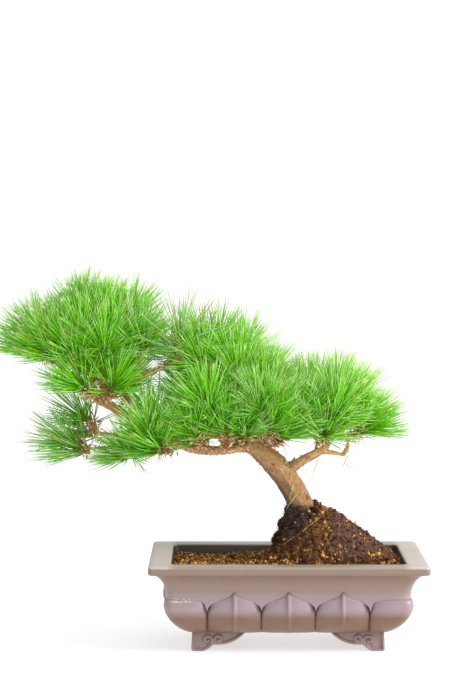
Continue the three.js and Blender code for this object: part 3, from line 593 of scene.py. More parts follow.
def normals_of(piece):
    return points_of(piece, "normal")


def move_points(piece, points):
    piece.data.vertices.foreach_set("co", np.asarray(points, dtype=float).ravel())
    piece.data.update()


def select_points(piece, chosen):
    """Selects a piece's points by their place, with the edges and faces between them."""
    flags = np.asarray(chosen, dtype=bool)
    for part in (*piece.data.edges, *piece.data.polygons):
        part.select = bool(flags[list(part.vertices)].all())
    piece.data.vertices.foreach_set("select", flags)


def in_edit_mode(piece, *steps):
    """Runs editing steps on what is selected of a piece."""
    take(piece)
    bpy.ops.object.mode_set(mode="EDIT")
    for step in steps:
        step()
    bpy.ops.object.mode_set(mode="OBJECT")


def modify(piece, kind, **settings):
    """Adds a modifier with its settings and applies it."""
    take(piece)
    modifier = piece.modifiers.new(kind.lower(), kind)
    for name, value in settings.items():
        setattr(modifier, name, value)
    bpy.ops.object.modifier_apply(modifier=modifier.name)


def named(piece, name):
    piece.name = name
    piece.data.name = name
    return piece


def added(name, data):
    """A new piece in the scene around a mesh or a curve."""
    piece = bpy.data.objects.new(name, data)
    bpy.context.scene.collection.objects.link(piece)
    return piece


def merge_doubles(piece):
    """Joins the points of a piece that lie in one place."""
    in_edit_mode(
        piece, select_everything, lambda: bpy.ops.mesh.remove_doubles(threshold=0.01 * MM)
    )


def outward(piece):
    """Turns all faces of a closed piece outwards."""
    in_edit_mode(
        piece, select_everything, lambda: bpy.ops.mesh.normals_make_consistent(inside=False)
    )


def merged_copy(node, name):
    """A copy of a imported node's mesh with its loose triangles joined."""
    piece = added(name, frame["nodes"][node].data.copy())
    merge_doubles(piece)
    piece.data.materials.clear()
    return named(piece, name)


def lofted(name, rings):
    """A closed skin over rings of points: a circle extruded ring by ring, and its points moved."""
    rings = np.asarray(rings)
    rows, count = rings.shape[:2]
    clear_selection()
    bpy.ops.mesh.primitive_circle_add(vertices=count, radius=1)
    piece = named(bpy.context.object, name)
    up = {"value": (0, 0, 1)}
    in_edit_mode(
        piece,
        select_everything,
        *[lambda: bpy.ops.mesh.extrude_region_move(TRANSFORM_OT_translate=up)] * (rows - 1),
    )
    points = points_of(piece)
    row = np.rint(points[:, 2]).astype(int)
    angle = np.arctan2(points[:, 1], points[:, 0])
    step = 2 * math.pi / count
    spoke = np.rint((angle - angle[0]) / step).astype(int) % count
    move_points(piece, rings[row, spoke])
    for end in (0, rows - 1):
        select_points(piece, row == end)
        in_edit_mode(piece, bpy.ops.mesh.edge_face_add)
    outward(piece)
    return piece


def tube(name, path, radius):
    """A round rod along a path, made as a curve with a bevel."""
    curve = bpy.data.curves.new(name, "CURVE")
    curve.dimensions = "3D"
    curve.bevel_depth = radius
    curve.bevel_resolution = 1
    curve.use_fill_caps = True
    line = curve.splines.new("POLY")
    line.points.add(len(path) - 1)
    for point, place in zip(line.points, path):
        point.co = (*place, 1)
    take(added(name, curve))
    bpy.ops.object.convert(target="MESH")
    piece = bpy.context.object
    merge_doubles(piece)
    outward(piece)
    return piece


def finished(piece, material, slot, *nodes, angle=None):
    """Gives a piece its finish, sets it on the root body and hides the imported nodes it stands
    for.
    """
    piece.data.materials.clear()
    piece.data.materials.append(material)
    take(piece)
    if angle is None:
        bpy.ops.object.shade_smooth()
    else:
        bpy.ops.object.shade_smooth_by_angle(angle=angle)
    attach(piece, "root")
    if nodes:
        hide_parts(*nodes)
    return piece


def remove(piece):
    bpy.data.objects.remove(piece, do_unlink=True)


def repeated(name, model, points, tints):
    """One mesh of many copies of a modelled shape, whose points are given copy by copy."""
    source = model.data
    copies, each = points.shape[:2]
    corners = np.empty(len(source.loops), dtype=np.int64)
    source.loops.foreach_get("vertex_index", corners)
    starts = np.empty(len(source.polygons), dtype=np.int64)
    source.polygons.foreach_get("loop_start", starts)
    along = points_of(model)[:, 2]
    offsets = np.arange(copies)[:, None]
    mesh = bpy.data.meshes.new(name)
    mesh.vertices.add(copies * each)
    mesh.vertices.foreach_set("co", points.ravel())
    mesh.loops.add(copies * len(corners))
    mesh.loops.foreach_set("vertex_index", (corners + offsets * each).ravel())
    mesh.polygons.add(copies * len(starts))
    mesh.polygons.foreach_set("loop_start", (starts + offsets * len(corners)).ravel())
    mesh.update(calc_edges=True)
    growth = mesh.uv_layers.new(name=GROWTH_MAP)
    places = np.empty((copies, len(corners), 2))
    places[:, :, 0] = tints[:, None]
    places[:, :, 1] = along[corners]
    growth.data.foreach_set("uv", places.ravel())
    return added(name, mesh)


def unit(vectors):
    return vectors / np.maximum(np.linalg.norm(vectors, axis=-1, keepdims=True), 1e-12)


def across(directions, random):
    """Two directions at right angles to each given one, turned at random about it."""
    side = unit(np.cross(directions, random.normal(size=directions.shape)))
    return side, np.cross(directions, side)


def strands(name, model, roots, tips, bows, widths, random, tints=None):
    """Copies of a slim model of length 1, each drawn from a root to a tip and bowed on the way."""
    shape = points_of(model)
    reach = tips - roots
    side, up = across(unit(reach), random)
    x, y, z = (shape[None, :, axis, None] for axis in range(3))
    points = roots[:, None] + z * reach[:, None] + 4 * z * (1 - z) * bows[:, None]
    points = points + widths[:, None, None] * (x * side[:, None] + y * up[:, None])
    tints = random.random(len(roots)) if tints is None else tints
    return repeated(name, model, points, tints)


def strand_model(sides, radii):
    """A slim rod of length 1 with a radius for each of its rings, pointed at its end."""
    clear_selection()
    bpy.ops.mesh.primitive_circle_add(vertices=sides, radius=1, fill_type="NGON")
    rod = bpy.context.object
    step = 1 / len(radii)
    rise = {"value": (0, 0, step)}
    in_edit_mode(
        rod,
        select_everything,
        *[lambda: bpy.ops.mesh.extrude_region_move(TRANSFORM_OT_translate=rise)] * len(radii),
        lambda: bpy.ops.mesh.merge(type="CENTER"),
    )
    points = points_of(rod)
    ring = np.rint(points[:, 2] / step).astype(int)
    points[:, :2] *= np.array([*radii, 0])[ring, None]
    move_points(rod, points)
    outward(rod)
    return rod


def surface_points(piece, count, random, keep):
    """Random places on a piece's faces with their normals.

    They are drawn by area and by the weight that keep gives to places and normals.
    """
    mesh = piece.data
    mesh.calc_loop_triangles()
    corners = np.empty(len(mesh.loop_triangles) * 3, dtype=np.int64)
    mesh.loop_triangles.foreach_get("vertices", corners)
    corners = points_of(piece)[corners.reshape(-1, 3)]
    cross = np.cross(corners[:, 1] - corners[:, 0], corners[:, 2] - corners[:, 0])
    area = np.linalg.norm(cross, axis=1) / 2
    normals = unit(cross)
    weight = area * keep(corners.mean(axis=1), normals)
    chosen = random.choice(len(area), size=count, p=weight / weight.sum())
    a, b = random.random((2, count, 1))
    flip = a + b > 1
    a, b = np.where(flip, 1 - a, a), np.where(flip, 1 - b, b)
    p, q, r = (corners[chosen, i] for i in range(3))
    return p + a * (q - p) + b * (r - p), normals[chosen]


def spaced(places, gaps):
    """Which places keep their own gap to those taken before them."""
    cell = float(np.max(gaps))
    taken = {}
    chosen = []
    for index, (place, gap) in enumerate(zip(places, gaps)):
        key = tuple(np.floor(place / cell).astype(int))
        near = [
            other
            for dx in (-1, 0, 1) for dy in (-1, 0, 1) for dz in (-1, 0, 1)
            for other in taken.get((key[0] + dx, key[1] + dy, key[2] + dz), ())
        ]
        if all(np.sum((places[other] - place) ** 2) > gap * gap for other in near):
            taken.setdefault(key, []).append(index)
            chosen.append(index)
    return np.array(chosen)


# ---------------------------------------------------------------- pot

# Petals on a long and a short side, and how far from its middle the last valley lies.
LONG_SIDE = {"petals": 3, "valley": 87 * MM}
SHORT_SIDE = {"petals": 1, "valley": 34 * MM}

# Relief of the petals. A rib's width is a share of half a petal.
VALLEY_DEPTH = 8.5 * MM
CREASE_DEPTH = 0.6 * MM
RIB_HEIGHT = 2.3 * MM
RIB_WIDTH = 0.075

# The petals' upper edge: the height of its valleys, and how far each part rises above them.
PETAL_VALLEY_Z = 46 * MM
PETAL_SHOULDER = 13.5 * MM
PETAL_TIP = 7 * MM
RIB_KNOB = 1.8 * MM
CORNER_SHOULDER = 14.5 * MM
PETAL_EDGE = 7.5 * MM

# Radii of the pot's corners in plan, and of the edges of its rim.
LIP_CORNER = 5 * MM
BODY_CORNER = 10 * MM
INNER_CORNER = 7 * MM
OUTER_EDGE = 2.6 * MM
INNER_EDGE = 1.8 * MM

# How far the top of the hollow under the lip lies behind the rim's edge.
LIP_OVERHANG = 2 * MM

# The curve of the bowl below the petals' fullest part, and how far the petals lean in above it.
BOWL_CURVE = 1.6
PETAL_LEAN = 1.8 * MM

# The inner wall down to the floor: insets from the rim's edge, with their heights.
INNER_WALL = MM * np.array([(24.6, 78), (25, 60), (27.5, 50), (32, 42), (39, 34), (49, 29)])

DRAIN_SIDES = 48
CLAY_SMOOTH_ANGLE = math.radians(38)
FOOT_STEP = 0.8 * MM


def pot_stations():
    """Points round the pot's plan: where each lies along its face, and on which petal."""
    lobe = (1 - np.cos(np.linspace(0, math.pi, 15))) / 2
    lobe = np.unique(np.concatenate([lobe[3:], [0, 0.03, 0.05, 0.065, 0.08, 0.1, 0.13]]))
    corner = np.linspace(0, 1, 10)[:-1] ** 0.8
    rows = []
    for face in range(4):
        side = SHORT_SIDE if face % 2 else LONG_SIDE
        pitch = 2 * side["valley"] / side["petals"]
        petals = []
        for petal in range(side["petals"]):
            middle = (petal + 0.5) * pitch - side["valley"]
            petals += [(middle - u * pitch / 2, u) for u in lobe[::-1]]
            petals += [(middle + u * pitch / 2, u) for u in lobe[1:-1]]
        petals.append((side["valley"], 1.0))
        start = [(face, -1, w, 0, 0, math.nan) for w in corner]
        middle = [(face, 0, 0, 0, along, u) for along, u in petals]
        end = [(face, 1, w, 0, 0, math.nan) for w in corner[::-1]]
        turn = [(face, 0, 0, t, 0, math.nan) for t in np.radians(np.arange(10, 90, 10))]
        rows += start + middle + end + turn
    names = ("face", "end", "w", "turn", "along", "u")
    return dict(zip(names, np.array(rows, dtype=float).T))


def plan_points(at, inset, corner, z):
    """Where the stations lie, for insets from the rim's edge, a corner radius and heights."""
    odd = at["face"] % 2 == 1
    half_length = np.where(odd, POT_SIZE[1], POT_SIZE[0]) / 2 - inset
    half_depth = np.where(odd, POT_SIZE[0], POT_SIZE[1]) / 2 - inset
    valley = np.where(odd, SHORT_SIDE["valley"], LONG_SIDE["valley"])
    straight = half_length - corner
    along = np.where(at["end"] != 0, at["end"] * (straight + (valley - straight) * at["w"]),
                     at["along"])
    along = np.where(at["turn"] > 0, straight + corner * np.sin(at["turn"]), along)
    out = np.where(at["turn"] > 0, half_depth - corner * (1 - np.cos(at["turn"])), half_depth)
    heading = at["face"] * math.pi / 2
    x = along * np.cos(heading) + out * np.sin(heading)
    y = along * np.sin(heading) - out * np.cos(heading)
    return np.stack([x, y, np.broadcast_to(z, x.shape)], axis=1) + POT_MIDDLE


def petal_top(at):
    """Height of the petals' upper edge."""
    u = np.nan_to_num(at["u"])
    petal = PETAL_SHOULDER * np.sqrt(1 - u ** 3) + PETAL_TIP * (1 - u) ** 2.4
    petal = petal + RIB_KNOB * np.exp(-(u / RIB_WIDTH) ** 4)
    corner = CORNER_SHOULDER * np.sqrt(1 - at["w"] ** 5)
    return PETAL_VALLEY_Z + np.where(np.isnan(at["u"]), corner, petal)


def petal_depth(at):
    """How far the petals' face lies behind its crest: valleys, creases and raised ribs."""
    u = np.nan_to_num(at["u"])
    fall = 1 - (1 - u ** 2.1) ** 0.62
    crease = np.clip(1 - u / 0.5, 0, 1) ** 2
    lobe = VALLEY_DEPTH * fall + CREASE_DEPTH * crease
    lobe = lobe - (CREASE_DEPTH + RIB_HEIGHT) * np.exp(-(u / RIB_WIDTH) ** 4)
    corner = VALLEY_DEPTH * (1 - (1 - at["w"] ** 3) ** 0.55)
    return np.where(np.isnan(at["u"]), corner, lobe)


def belly_inset(pot, z):
    """Inset of the petals' crest at a height."""
    lean_height = pot.waist_height + 7 * MM - pot.belly_height
    above = PETAL_LEAN * ((z - pot.belly_height) / lean_height) ** 2
    drop = np.clip((pot.belly_height - z) / (pot.belly_height - pot.foot_height), 0, 1)
    spread = (1 - drop ** BOWL_CURVE) ** (1 / BOWL_CURVE)
    below = pot.base_inset + (pot.belly_inset - pot.base_inset) * spread
    return np.where(z > pot.belly_height, pot.belly_inset + above, below)


def wall_inset(pot, z, lip_z):
    """Inset of the plain wall above the petals: the neck and the hollow under the lip."""
    climb = np.clip((z - pot.waist_height) / (lip_z - pot.waist_height), 0, 1)
    return LIP_OVERHANG + (pot.waist_inset - LIP_OVERHANG) * np.sqrt(1 - climb ** 2)


def pot_rings(pot):
    """Rings of the bowl, from its base up the petals, over the rim and down to its floor."""
    at = pot_stations()
    return petal_rings(pot, at) + neck_rings(pot, at) + rim_rings(pot, at)


def petal_rings(pot, at):
    """Rings from the base up the petals and over their upper edge into the groove behind it."""
    top = petal_top(at)
    rings = []
    for climb in np.linspace(0, 1, 26) ** 1.7:
        z = pot.foot_height + (top - PETAL_EDGE - pot.foot_height) * climb
        relief = petal_depth(at) * (0.55 + 0.45 * min(1, climb * 2.5))
        rings.append(plan_points(at, belly_inset(pot, z) + relief, BODY_CORNER, z))
    crest = belly_inset(pot, top - PETAL_EDGE) + petal_depth(at)
    groove = np.maximum(pot.waist_inset - crest, 0.4 * MM)
    for turn in np.radians([12, 24, 36, 48, 60, 72, 82, 90]):
        z = top - PETAL_EDGE * (1 - math.sin(turn))
        inset = crest + groove * (1 - math.cos(turn))
        rings.append(plan_points(at, inset, BODY_CORNER, z))
    return rings


def neck_rings(pot, at):
    """Rings from the petals' upper edge up the neck to the underside of the lip."""
    top = petal_top(at)
    lip_z = float(POT_SIZE[2]) - pot.lip_height
    rings = []
    for climb in np.sin(np.linspace(0.02, 1, 22) * math.pi / 2):
        z = top + (lip_z - 0.1 * MM - top) * climb
        corner = BODY_CORNER + (LIP_CORNER - BODY_CORNER) * climb
        rings.append(plan_points(at, wall_inset(pot, z, lip_z), corner, z))
    return rings


def rim_rings(pot, at):
    """Rings round the lip, across the rim, and down the inner wall to the floor."""
    high = float(POT_SIZE[2])
    lip_z = high - pot.lip_height
    rings = []
    for turn in np.radians([-60, -30, 0]):
        inset = OUTER_EDGE * (1 - math.cos(turn))
        z = lip_z + OUTER_EDGE * (1 + math.sin(turn))
        rings.append(plan_points(at, inset, LIP_CORNER, z))
    for turn in np.radians([0, 20, 40, 60, 80]):
        inset = OUTER_EDGE * (1 - math.cos(turn))
        z = high - OUTER_EDGE * (1 - math.sin(turn))
        rings.append(plan_points(at, inset, LIP_CORNER, z))
    for part in (0.25, 0.5, 0.75, 0.95):
        inset = OUTER_EDGE + (pot.rim_width - INNER_EDGE - OUTER_EDGE) * part
        corner = LIP_CORNER + (INNER_CORNER - LIP_CORNER) * part
        rings.append(plan_points(at, inset, corner, high))
    for turn in np.radians([30, 60, 90]):
        inset = pot.rim_width - INNER_EDGE * (1 - math.sin(turn))
        z = high - INNER_EDGE * (1 - math.cos(turn))
        rings.append(plan_points(at, inset, INNER_CORNER, z))
    for inset, z in INNER_WALL:
        rings.append(plan_points(at, inset, INNER_CORNER, max(z, pot.floor_height)))
    return rings


def arc(start, bend, end, count):
    """Points along a quadratic curve, without its first."""
    t = np.linspace(0, 1, count + 1)[1:, None]
    start, bend, end = (np.array(point, dtype=float) for point in (start, bend, end))
    return list((1 - t) ** 2 * start + 2 * t * (1 - t) * bend + t ** 2 * end)


def foot_outline(stretch):
    """A bracket's outline in millimetres: a tall outer lobe and a long low one up to the bowl."""
    points = [np.array([0.0, 24.0])]
    points += arc((0, 24), (-0.5, 13), (-1, 3), 6)
    points += arc((-1, 3), (-0.5, 0), (2, 0), 4)
    points += arc((2, 0), (7, 0), (12, 0), 3)
    points += arc((12, 0), (17 * stretch, 1), (23 * stretch, 7), 8)
    points += arc((23 * stretch, 7), (43 * stretch, 5), (57.5 * stretch, 20), 12)
    points += [np.array([50 * stretch, 24.0])]
    return np.array(points)


def scroll(centre, start, end, first, windings):
    """Points of a curl that winds in from one radius to another."""
    t = np.linspace(0, 1, 22)
    angle = first + windings * 2 * math.pi * t
    radius = start + (end - start) * t
    return np.stack([centre[0] + radius * np.cos(angle), centre[1] + radius * np.sin(angle)], 1)


def band_points(stretch):
    """Points close together along a bracket's raised band: its edge and its two curls."""
    edge = foot_outline(stretch)[1:-1]
    heading = unit(np.gradient(edge, axis=0))
    edge = edge + 1.3 * np.stack([-heading[:, 1], heading[:, 0]], axis=1)
    outer = scroll((16.5 * stretch, 12), 5.6 * stretch, 1.5 * stretch, math.radians(-55), 1.05)
    inner = scroll((28.5 * stretch, 12.6), 5 * stretch, 1.4 * stretch, math.radians(235), -1.05)
    points = []
    for path in (edge, outer, inner):
        for start, end in zip(path[:-1], path[1:]):
            points += [start, (start + end) / 2]
    return np.array(points) * MM


def bracket(pot, reach):
    """One plain face of a foot, from its corner along the pot."""
    outline = foot_outline(reach / pot.foot_length) * MM
    clear_selection()
    bpy.ops.mesh.primitive_circle_add(vertices=len(outline), radius=1, fill_type="NGON")
    panel = named(bpy.context.object, "bracket")
    move_points(panel, np.stack([outline[:, 0], np.zeros(len(outline)), outline[:, 1]], 1))
    back = {"value": (0, pot.foot_thickness, 0)}
    in_edit_mode(
        panel,
        select_everything,
        lambda: bpy.ops.mesh.extrude_region_move(TRANSFORM_OT_translate=back),
    )
    outward(panel)
    return panel


def join_solid(piece, other):
    """Unites two closed pieces into the first."""
    modify(piece, "BOOLEAN", operation="UNION", solver="MANIFOLD", object=other)
    remove(other)


def turned_copy(piece, name, turn):
    """A copy of a piece with its points put through a function, its faces outwards."""
    copy = added(name, piece.data.copy())
    move_points(copy, turn(points_of(copy)))
    outward(copy)
    return copy


def model_foot(pot):
    """A foot with its corner at the origin: two brackets with panels set back in a band."""
    foot = bracket(pot, pot.foot_length)
    end = bracket(pot, pot.foot_return)
    join_solid(foot, turned_copy(end, "foot_end", lambda p: p[:, [1, 0, 2]]))
    remove(end)
    modify(foot, "REMESH", mode="VOXEL", voxel_size=FOOT_STEP)
    points = points_of(foot)
    normals = normals_of(foot)
    relief = np.zeros_like(points)
    for side, along, reach in ((1, 0, pot.foot_length), (0, 1, pot.foot_return)):
        face = np.nonzero(normals[:, side] < -0.5)[0]
        spots = points[face][:, [along, 2]]
        band = band_points(reach / pot.foot_length)
        gap = np.linalg.norm(spots[:, None, :] - band[None, :, :], axis=2).min(axis=1)
        dip = pot.foot_panel * rise(gap, 0.9 * MM, 2.3 * MM)
        relief[face, side] = dip * rise(-normals[face, side], 0.5, 0.9)
    points = points + relief
    points[:, 2] = np.maximum(points[:, 2], 0)
    move_points(foot, points)
    return foot


def build_feet(pot):
    """The four feet, one model mirrored to each corner."""
    corner = POT_SIZE[:2] / 2 - pot.base_inset
    model = model_foot(pot)
    feet = []
    for sx in (-1, 1):
        for sy in (-1, 1):
            middle = POT_MIDDLE + (sx * corner[0], sy * corner[1], 0)
            feet.append(turned_copy(model, "foot", lambda p: middle - p * (sx, sy, -1)))
    remove(model)
    return feet


def cut_drainage_hole(bowl, pot, side):
    """Cuts one round hole through the bowl's floor, to the left or right of the middle."""
    middle = POT_MIDDLE + (side * pot.drain_offset, 0, pot.foot_height)
    clear_selection()
    bpy.ops.mesh.primitive_cylinder_add(
        vertices=DRAIN_SIDES, radius=pot.drain_radius, depth=30 * MM, location=middle
    )
    plug = bpy.context.object
    bpy.ops.object.transform_apply(location=True, rotation=True, scale=True)
    modify(bowl, "BOOLEAN", operation="DIFFERENCE", solver="MANIFOLD", object=plug)
    remove(plug)


class BONSAI_OT_pot(bpy.types.Operator):
    """Models the fired pot: bowl with its belt of petals, neck, rim, feet and drainage holes"""
    bl_idname = "bonsai.pot"
    bl_label = "Pot"

    def execute(self, context):
        pot = context.scene.bonsai_pot
        bowl = lofted("pot_clay", pot_rings(pot))
        for foot in build_feet(pot):
            join_solid(bowl, foot)
        for side in (-1, 1):
            cut_drainage_hole(bowl, pot, side)
        finished(bowl, clay_finish(pot), "clay", "pot", angle=CLAY_SMOOTH_ANGLE)
        return {"FINISHED"}


class BONSAI_OT_drainage(bpy.types.Operator):
    """Finishes the pieces of plastic mesh over the drainage holes"""
    bl_idname = "bonsai.drainage"
    bl_label = "Drainage mesh"

    def execute(self, context):
        material = plastic_finish()
        for side in ("left", "right"):
            frame["nodes"][f"drainage_mesh_{side}"].material_slots[0].material = material
        return {"FINISHED"}


# ---------------------------------------------------------------- wood

# Bark this near to the trunk's line follows it, laid out round a cylinder of the radius below.
TRUNK_REACH = 26 * MM
UNROLLED_RADIUS = 12 * MM


def along_trunk(points):
    """Distance along the trunk's line, the angle about it and the distance from it."""
    best = np.full(len(points), np.inf)
    reach = np.zeros(len(points))
    offset = np.zeros_like(points)
    start = 0.0
    for a, b in zip(TRUNK_LINE[:-1], TRUNK_LINE[1:]):
        span = b - a
        size = np.linalg.norm(span)
        t = np.clip((points - a) @ span / size ** 2, 0, 1)
        away = points - (a + t[:, None] * span)
        distance = np.linalg.norm(away, axis=1)
        nearer = distance < best
        best = np.where(nearer, distance, best)
        reach = np.where(nearer, start + t * size, reach)
        offset = np.where(nearer[:, None], away, offset)
        start += size
    angle = np.arctan2(offset[:, 1], offset[:, 0] + offset[:, 2])
    return reach, angle, best


def surface_of(piece):
    """A piece's faces, sorted for the casting of rays."""
    return BVHTree.FromPolygons(
        [tuple(p) for p in points_of(piece)], [tuple(f.vertices) for f in piece.data.polygons]
    )


def thickness_of(piece, longest):
    """How thick a piece is beneath each point, up to a longest measure."""
    tree = surface_of(piece)
    start = 0.2 * MM
    found = np.full(len(piece.data.vertices), longest)
    for index, (point, normal) in enumerate(zip(points_of(piece), normals_of(piece))):
        inward = Vector(-normal)
        hit = tree.ray_cast(Vector(point) + inward * start, inward, longest)
        if hit[3] is not None:
            found[index] = hit[3] + start
    return found


def smoothed(piece, values, rounds):
    """Values on a piece's points, averaged along its edges."""
    edges = np.empty(len(piece.data.edges) * 2, dtype=np.int64)
    piece.data.edges.foreach_get("vertices", edges)
    a, b = edges.reshape(-1, 2).T
    count = np.bincount(a, minlength=len(values)) + np.bincount(b, minlength=len(values)) + 1
    for _ in range(rounds):
        total = np.bincount(a, values[b], len(values)) + np.bincount(b, values[a], len(values))
        values = (total + values) / count
    return values


def store(piece, name, values):
    attribute = piece.data.attributes.new(name, "FLOAT", "POINT")
    attribute.data.foreach_set("value", np.asarray(values, dtype=np.float32))


def rise(values, low, high):
    """0 below low, 1 above high and smooth between."""
    t = np.clip((values - low) / (high - low), 0, 1)
    return t * t * (3 - 2 * t)


def bark_relief(points, girth, wood):
    """Height of the bark over the wood, how clear of a crack it is and its tone."""
    noise.seed_set(BARK_SEED)
    distance, angle, away = along_trunk(points)
    stretch = Vector((1, 1, 0.45))
    grown = rise(girth, 6 * MM, 16 * MM)
    height = np.zeros(len(points))
    clear = np.ones(len(points))
    tone = np.full(len(points), 0.5)
    for index in range(len(points)):
        place = Vector(points[index])
        if away[index] < TRUNK_REACH:
            place = Vector((
                math.cos(angle[index]) * UNROLLED_RADIUS,
                math.sin(angle[index]) * UNROLLED_RADIUS,
                distance[index],
            ))
        wobble = noise.noise_vector(place / (7 * MM)) * 0.5
        gaps, _ = noise.voronoi(place * stretch / wood.plate + wobble)
        cracked = min(1, max(0, 0.1 + 1.5 * noise.noise(place / (13 * MM))))
        clear[index] = 1 - cracked * (1 - min(1, (gaps[1] - gaps[0]) / 0.3))
        flat = Vector((place.x, place.y, 3.2 * place.z))
        ripple = noise.fractal(flat / (4.5 * MM) + wobble, 1, 2, 3)
        swell = noise.fractal(place / (9 * MM), 1, 2, 2)
        height[index] = 0.2 * MM * ripple + 0.45 * MM * swell
        streak = Vector((place.x, place.y, 0.3 * place.z)) / (5 * MM)
        tone[index] = 0.5 + 0.6 * noise.fractal(streak, 0.7, 2, 4)
    relief = wood.fissure * (clear - 1)
    return height * (0.4 + 0.9 * grown) + relief * grown, clear, tone


class BONSAI_OT_wood(bpy.types.Operator):
    """Models the bark of the trunk, roots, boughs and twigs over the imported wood"""
    bl_idname = "bonsai.wood"
    bl_label = "Wood"

    def execute(self, context):
        wood = context.scene.bonsai_wood
        soil = context.scene.bonsai_soil
        piece = merged_copy("trunk", "wood")
        modify(piece, "REMESH", mode="VOXEL", voxel_size=wood.grain)
        modify(piece, "SMOOTH", factor=0.5, iterations=5)
        girth = smoothed(piece, thickness_of(piece, 32 * MM), 6)
        points, normals = points_of(piece), normals_of(piece)
        height, plate, tone = bark_relief(points, girth, wood)
        move_points(piece, points + normals * height[:, None])
        store(piece, "girth", girth)
        store(piece, "plate", plate)
        store(piece, "tone", tone)
        # The shady attribute is painted shade on bark that faces left, away from the key light.
        store(piece, "shady", rise(-normals[:, 0] + 0.4 * tone, 0.4, 1.0))
        finished(piece, bark_finish(wood, soil), "bark", "trunk")
        return {"FINISHED"}


# ---------------------------------------------------------------- root ball and soil

BALL_PEAK = POT_MIDDLE + (17 * MM, 0, 0)

# Places tried for a grain on the soil bed and on the root ball. Crowded ones stay empty.
BED_GRAIN_TRIES = 16000
BALL_GRAIN_TRIES = 8000

# Sizes of grains as shares of the usual one, with how common each is.
BED_GRAIN_SIZES = {0.4: 0.35, 0.65: 0.35, 0.95: 0.22, 1.3: 0.08}
BALL_GRAIN_SIZES = {0.35: 0.28, 0.55: 0.3, 0.85: 0.27, 1.25: 0.15}
GRAIN_SHAPES = 5

BALL_FIBRES = 6500
COLLAR_FIBRES = 1500
COLLAR_CLODS = 110
FIBRE_RADII = (1, 1, 0.9, 0.8, 0.5)

# The dry stalk on the front of the root ball: its two ends in x and z, and its radius.
STRAW_ENDS = MM * np.array([(-13, 107), (35, 141)])
STRAW_RADIUS = 0.36 * MM


def outside_ball(points):
    """How far points lie outside the root ball in plan."""
    away = points[:, :2] - BALL_PEAK[:2]
    reach = np.where(away > 0, BALL_HIGH[:2] - BALL_PEAK[:2], BALL_PEAK[:2] - BALL_LOW[:2])
    share_out = np.linalg.norm(away / reach, axis=1)
    distance = np.linalg.norm(away, axis=1)
    return distance * (1 - 1 / np.maximum(share_out, 1e-6))


def root_mat(points):
    """1 in the dark mat of roots up the left and round the trunk, 0 on the bare soil below it."""
    x, y, z = (points - POT_MIDDLE).T
    edge = 109 * MM + 0.72 * (x + 11 * MM) + 4 * MM * fractal(points, 9 * MM, 2)
    front = rise(z - edge, -2 * MM, 4 * MM) * rise(x, 46 * MM, 30 * MM)
    return np.maximum(front, rise(y, 8 * MM, 24 * MM))


def felt_mat(points):
    """1 on the right slope, which the finest roots cover like felt."""
    x, _, z = (points - POT_MIDDLE).T
    return rise(x, 34 * MM, 58 * MM) * rise(z, 92 * MM, 106 * MM)


def fractal(points, size, octaves=3):
    """Cloudy noise, about -1 to 1."""
    return np.array([noise.fractal(Vector(p) / size, 1, 2, octaves) for p in points])


class BONSAI_OT_root_ball(bpy.types.Operator):
    """Models the rough heap of soil and fine roots that the tree stands in"""
    bl_idname = "bonsai.root_ball"
    bl_label = "Root ball"

    def execute(self, context):
        soil = context.scene.bonsai_soil
        piece = merged_copy("root_ball", "root_ball_earth")
        modify(piece, "REMESH", mode="VOXEL", voxel_size=soil.step)
        modify(piece, "SMOOTH", factor=0.5, iterations=8)
        points, normals = points_of(piece), normals_of(piece)
        shown = rise(points[:, 2], 72 * MM, 90 * MM)
        lumps = 3.2 * MM * fractal(points, 13 * MM) + 2.4 * MM * fractal(points, 5 * MM, 3)
        fibrous = root_mat(points)
        clods = 1 - np.abs(fractal(points, 12 * MM, 1)) * 3.2
        lumps = lumps + 5 * MM * fibrous * clods
        move_points(piece, points + normals * (shown * lumps)[:, None])
        store(piece, "fibrous", fibrous)
        store(piece, "felt", felt_mat(points))
        finished(piece, earth_finish(soil), "root_soil", "root_ball")
        return {"FINISHED"}


class BONSAI_OT_soil(bpy.types.Operator):
    """Models the soil bed, banked up against the root ball"""
    bl_idname = "bonsai.soil"
    bl_label = "Soil bed"

    def execute(self, context):
        soil = context.scene.bonsai_soil
        piece = merged_copy("soil_bed", "soil_earth")
        modify(piece, "REMESH", mode="VOXEL", voxel_size=1.5 * soil.step)
        points = points_of(piece)
        surface = rise(points[:, 2], 78 * MM, 83 * MM)
        left = rise(BALL_PEAK[0] - points[:, 0], -5 * MM, 25 * MM)
        bank = soil.bank * np.exp(-np.maximum(outside_ball(points), 0) / (26 * MM))
        waves = 1.5 * MM * fractal(points, 20 * MM) + 0.8 * MM * fractal(points, 7 * MM)
        lift = surface * (bank * (0.25 + 0.75 * left) + waves)
        points[:, 2] += lift
        move_points(piece, points)
        finished(piece, bed_finish(soil), "soil", "soil_bed")
        return {"FINISHED"}


def grain_models(count, random):
    """A few soil grains: rounded lumps with flattened sides."""
    models = []
    for _ in range(count):
        clear_selection()
        bpy.ops.mesh.primitive_ico_sphere_add(subdivisions=2, radius=0.5)
        grain = bpy.context.object
        points = points_of(grain)
        shift = Vector(random.random(3) * 50)
        bulge = np.array([noise.noise(Vector(p) * 2.2 + shift) for p in points])
        points = points * (1 + 0.45 * bulge[:, None]) * random.uniform(0.8, 1.15, 3)
        move_points(grain, points)
        modify(grain, "DECIMATE", ratio=0.6)
        models.append(grain)
    return models


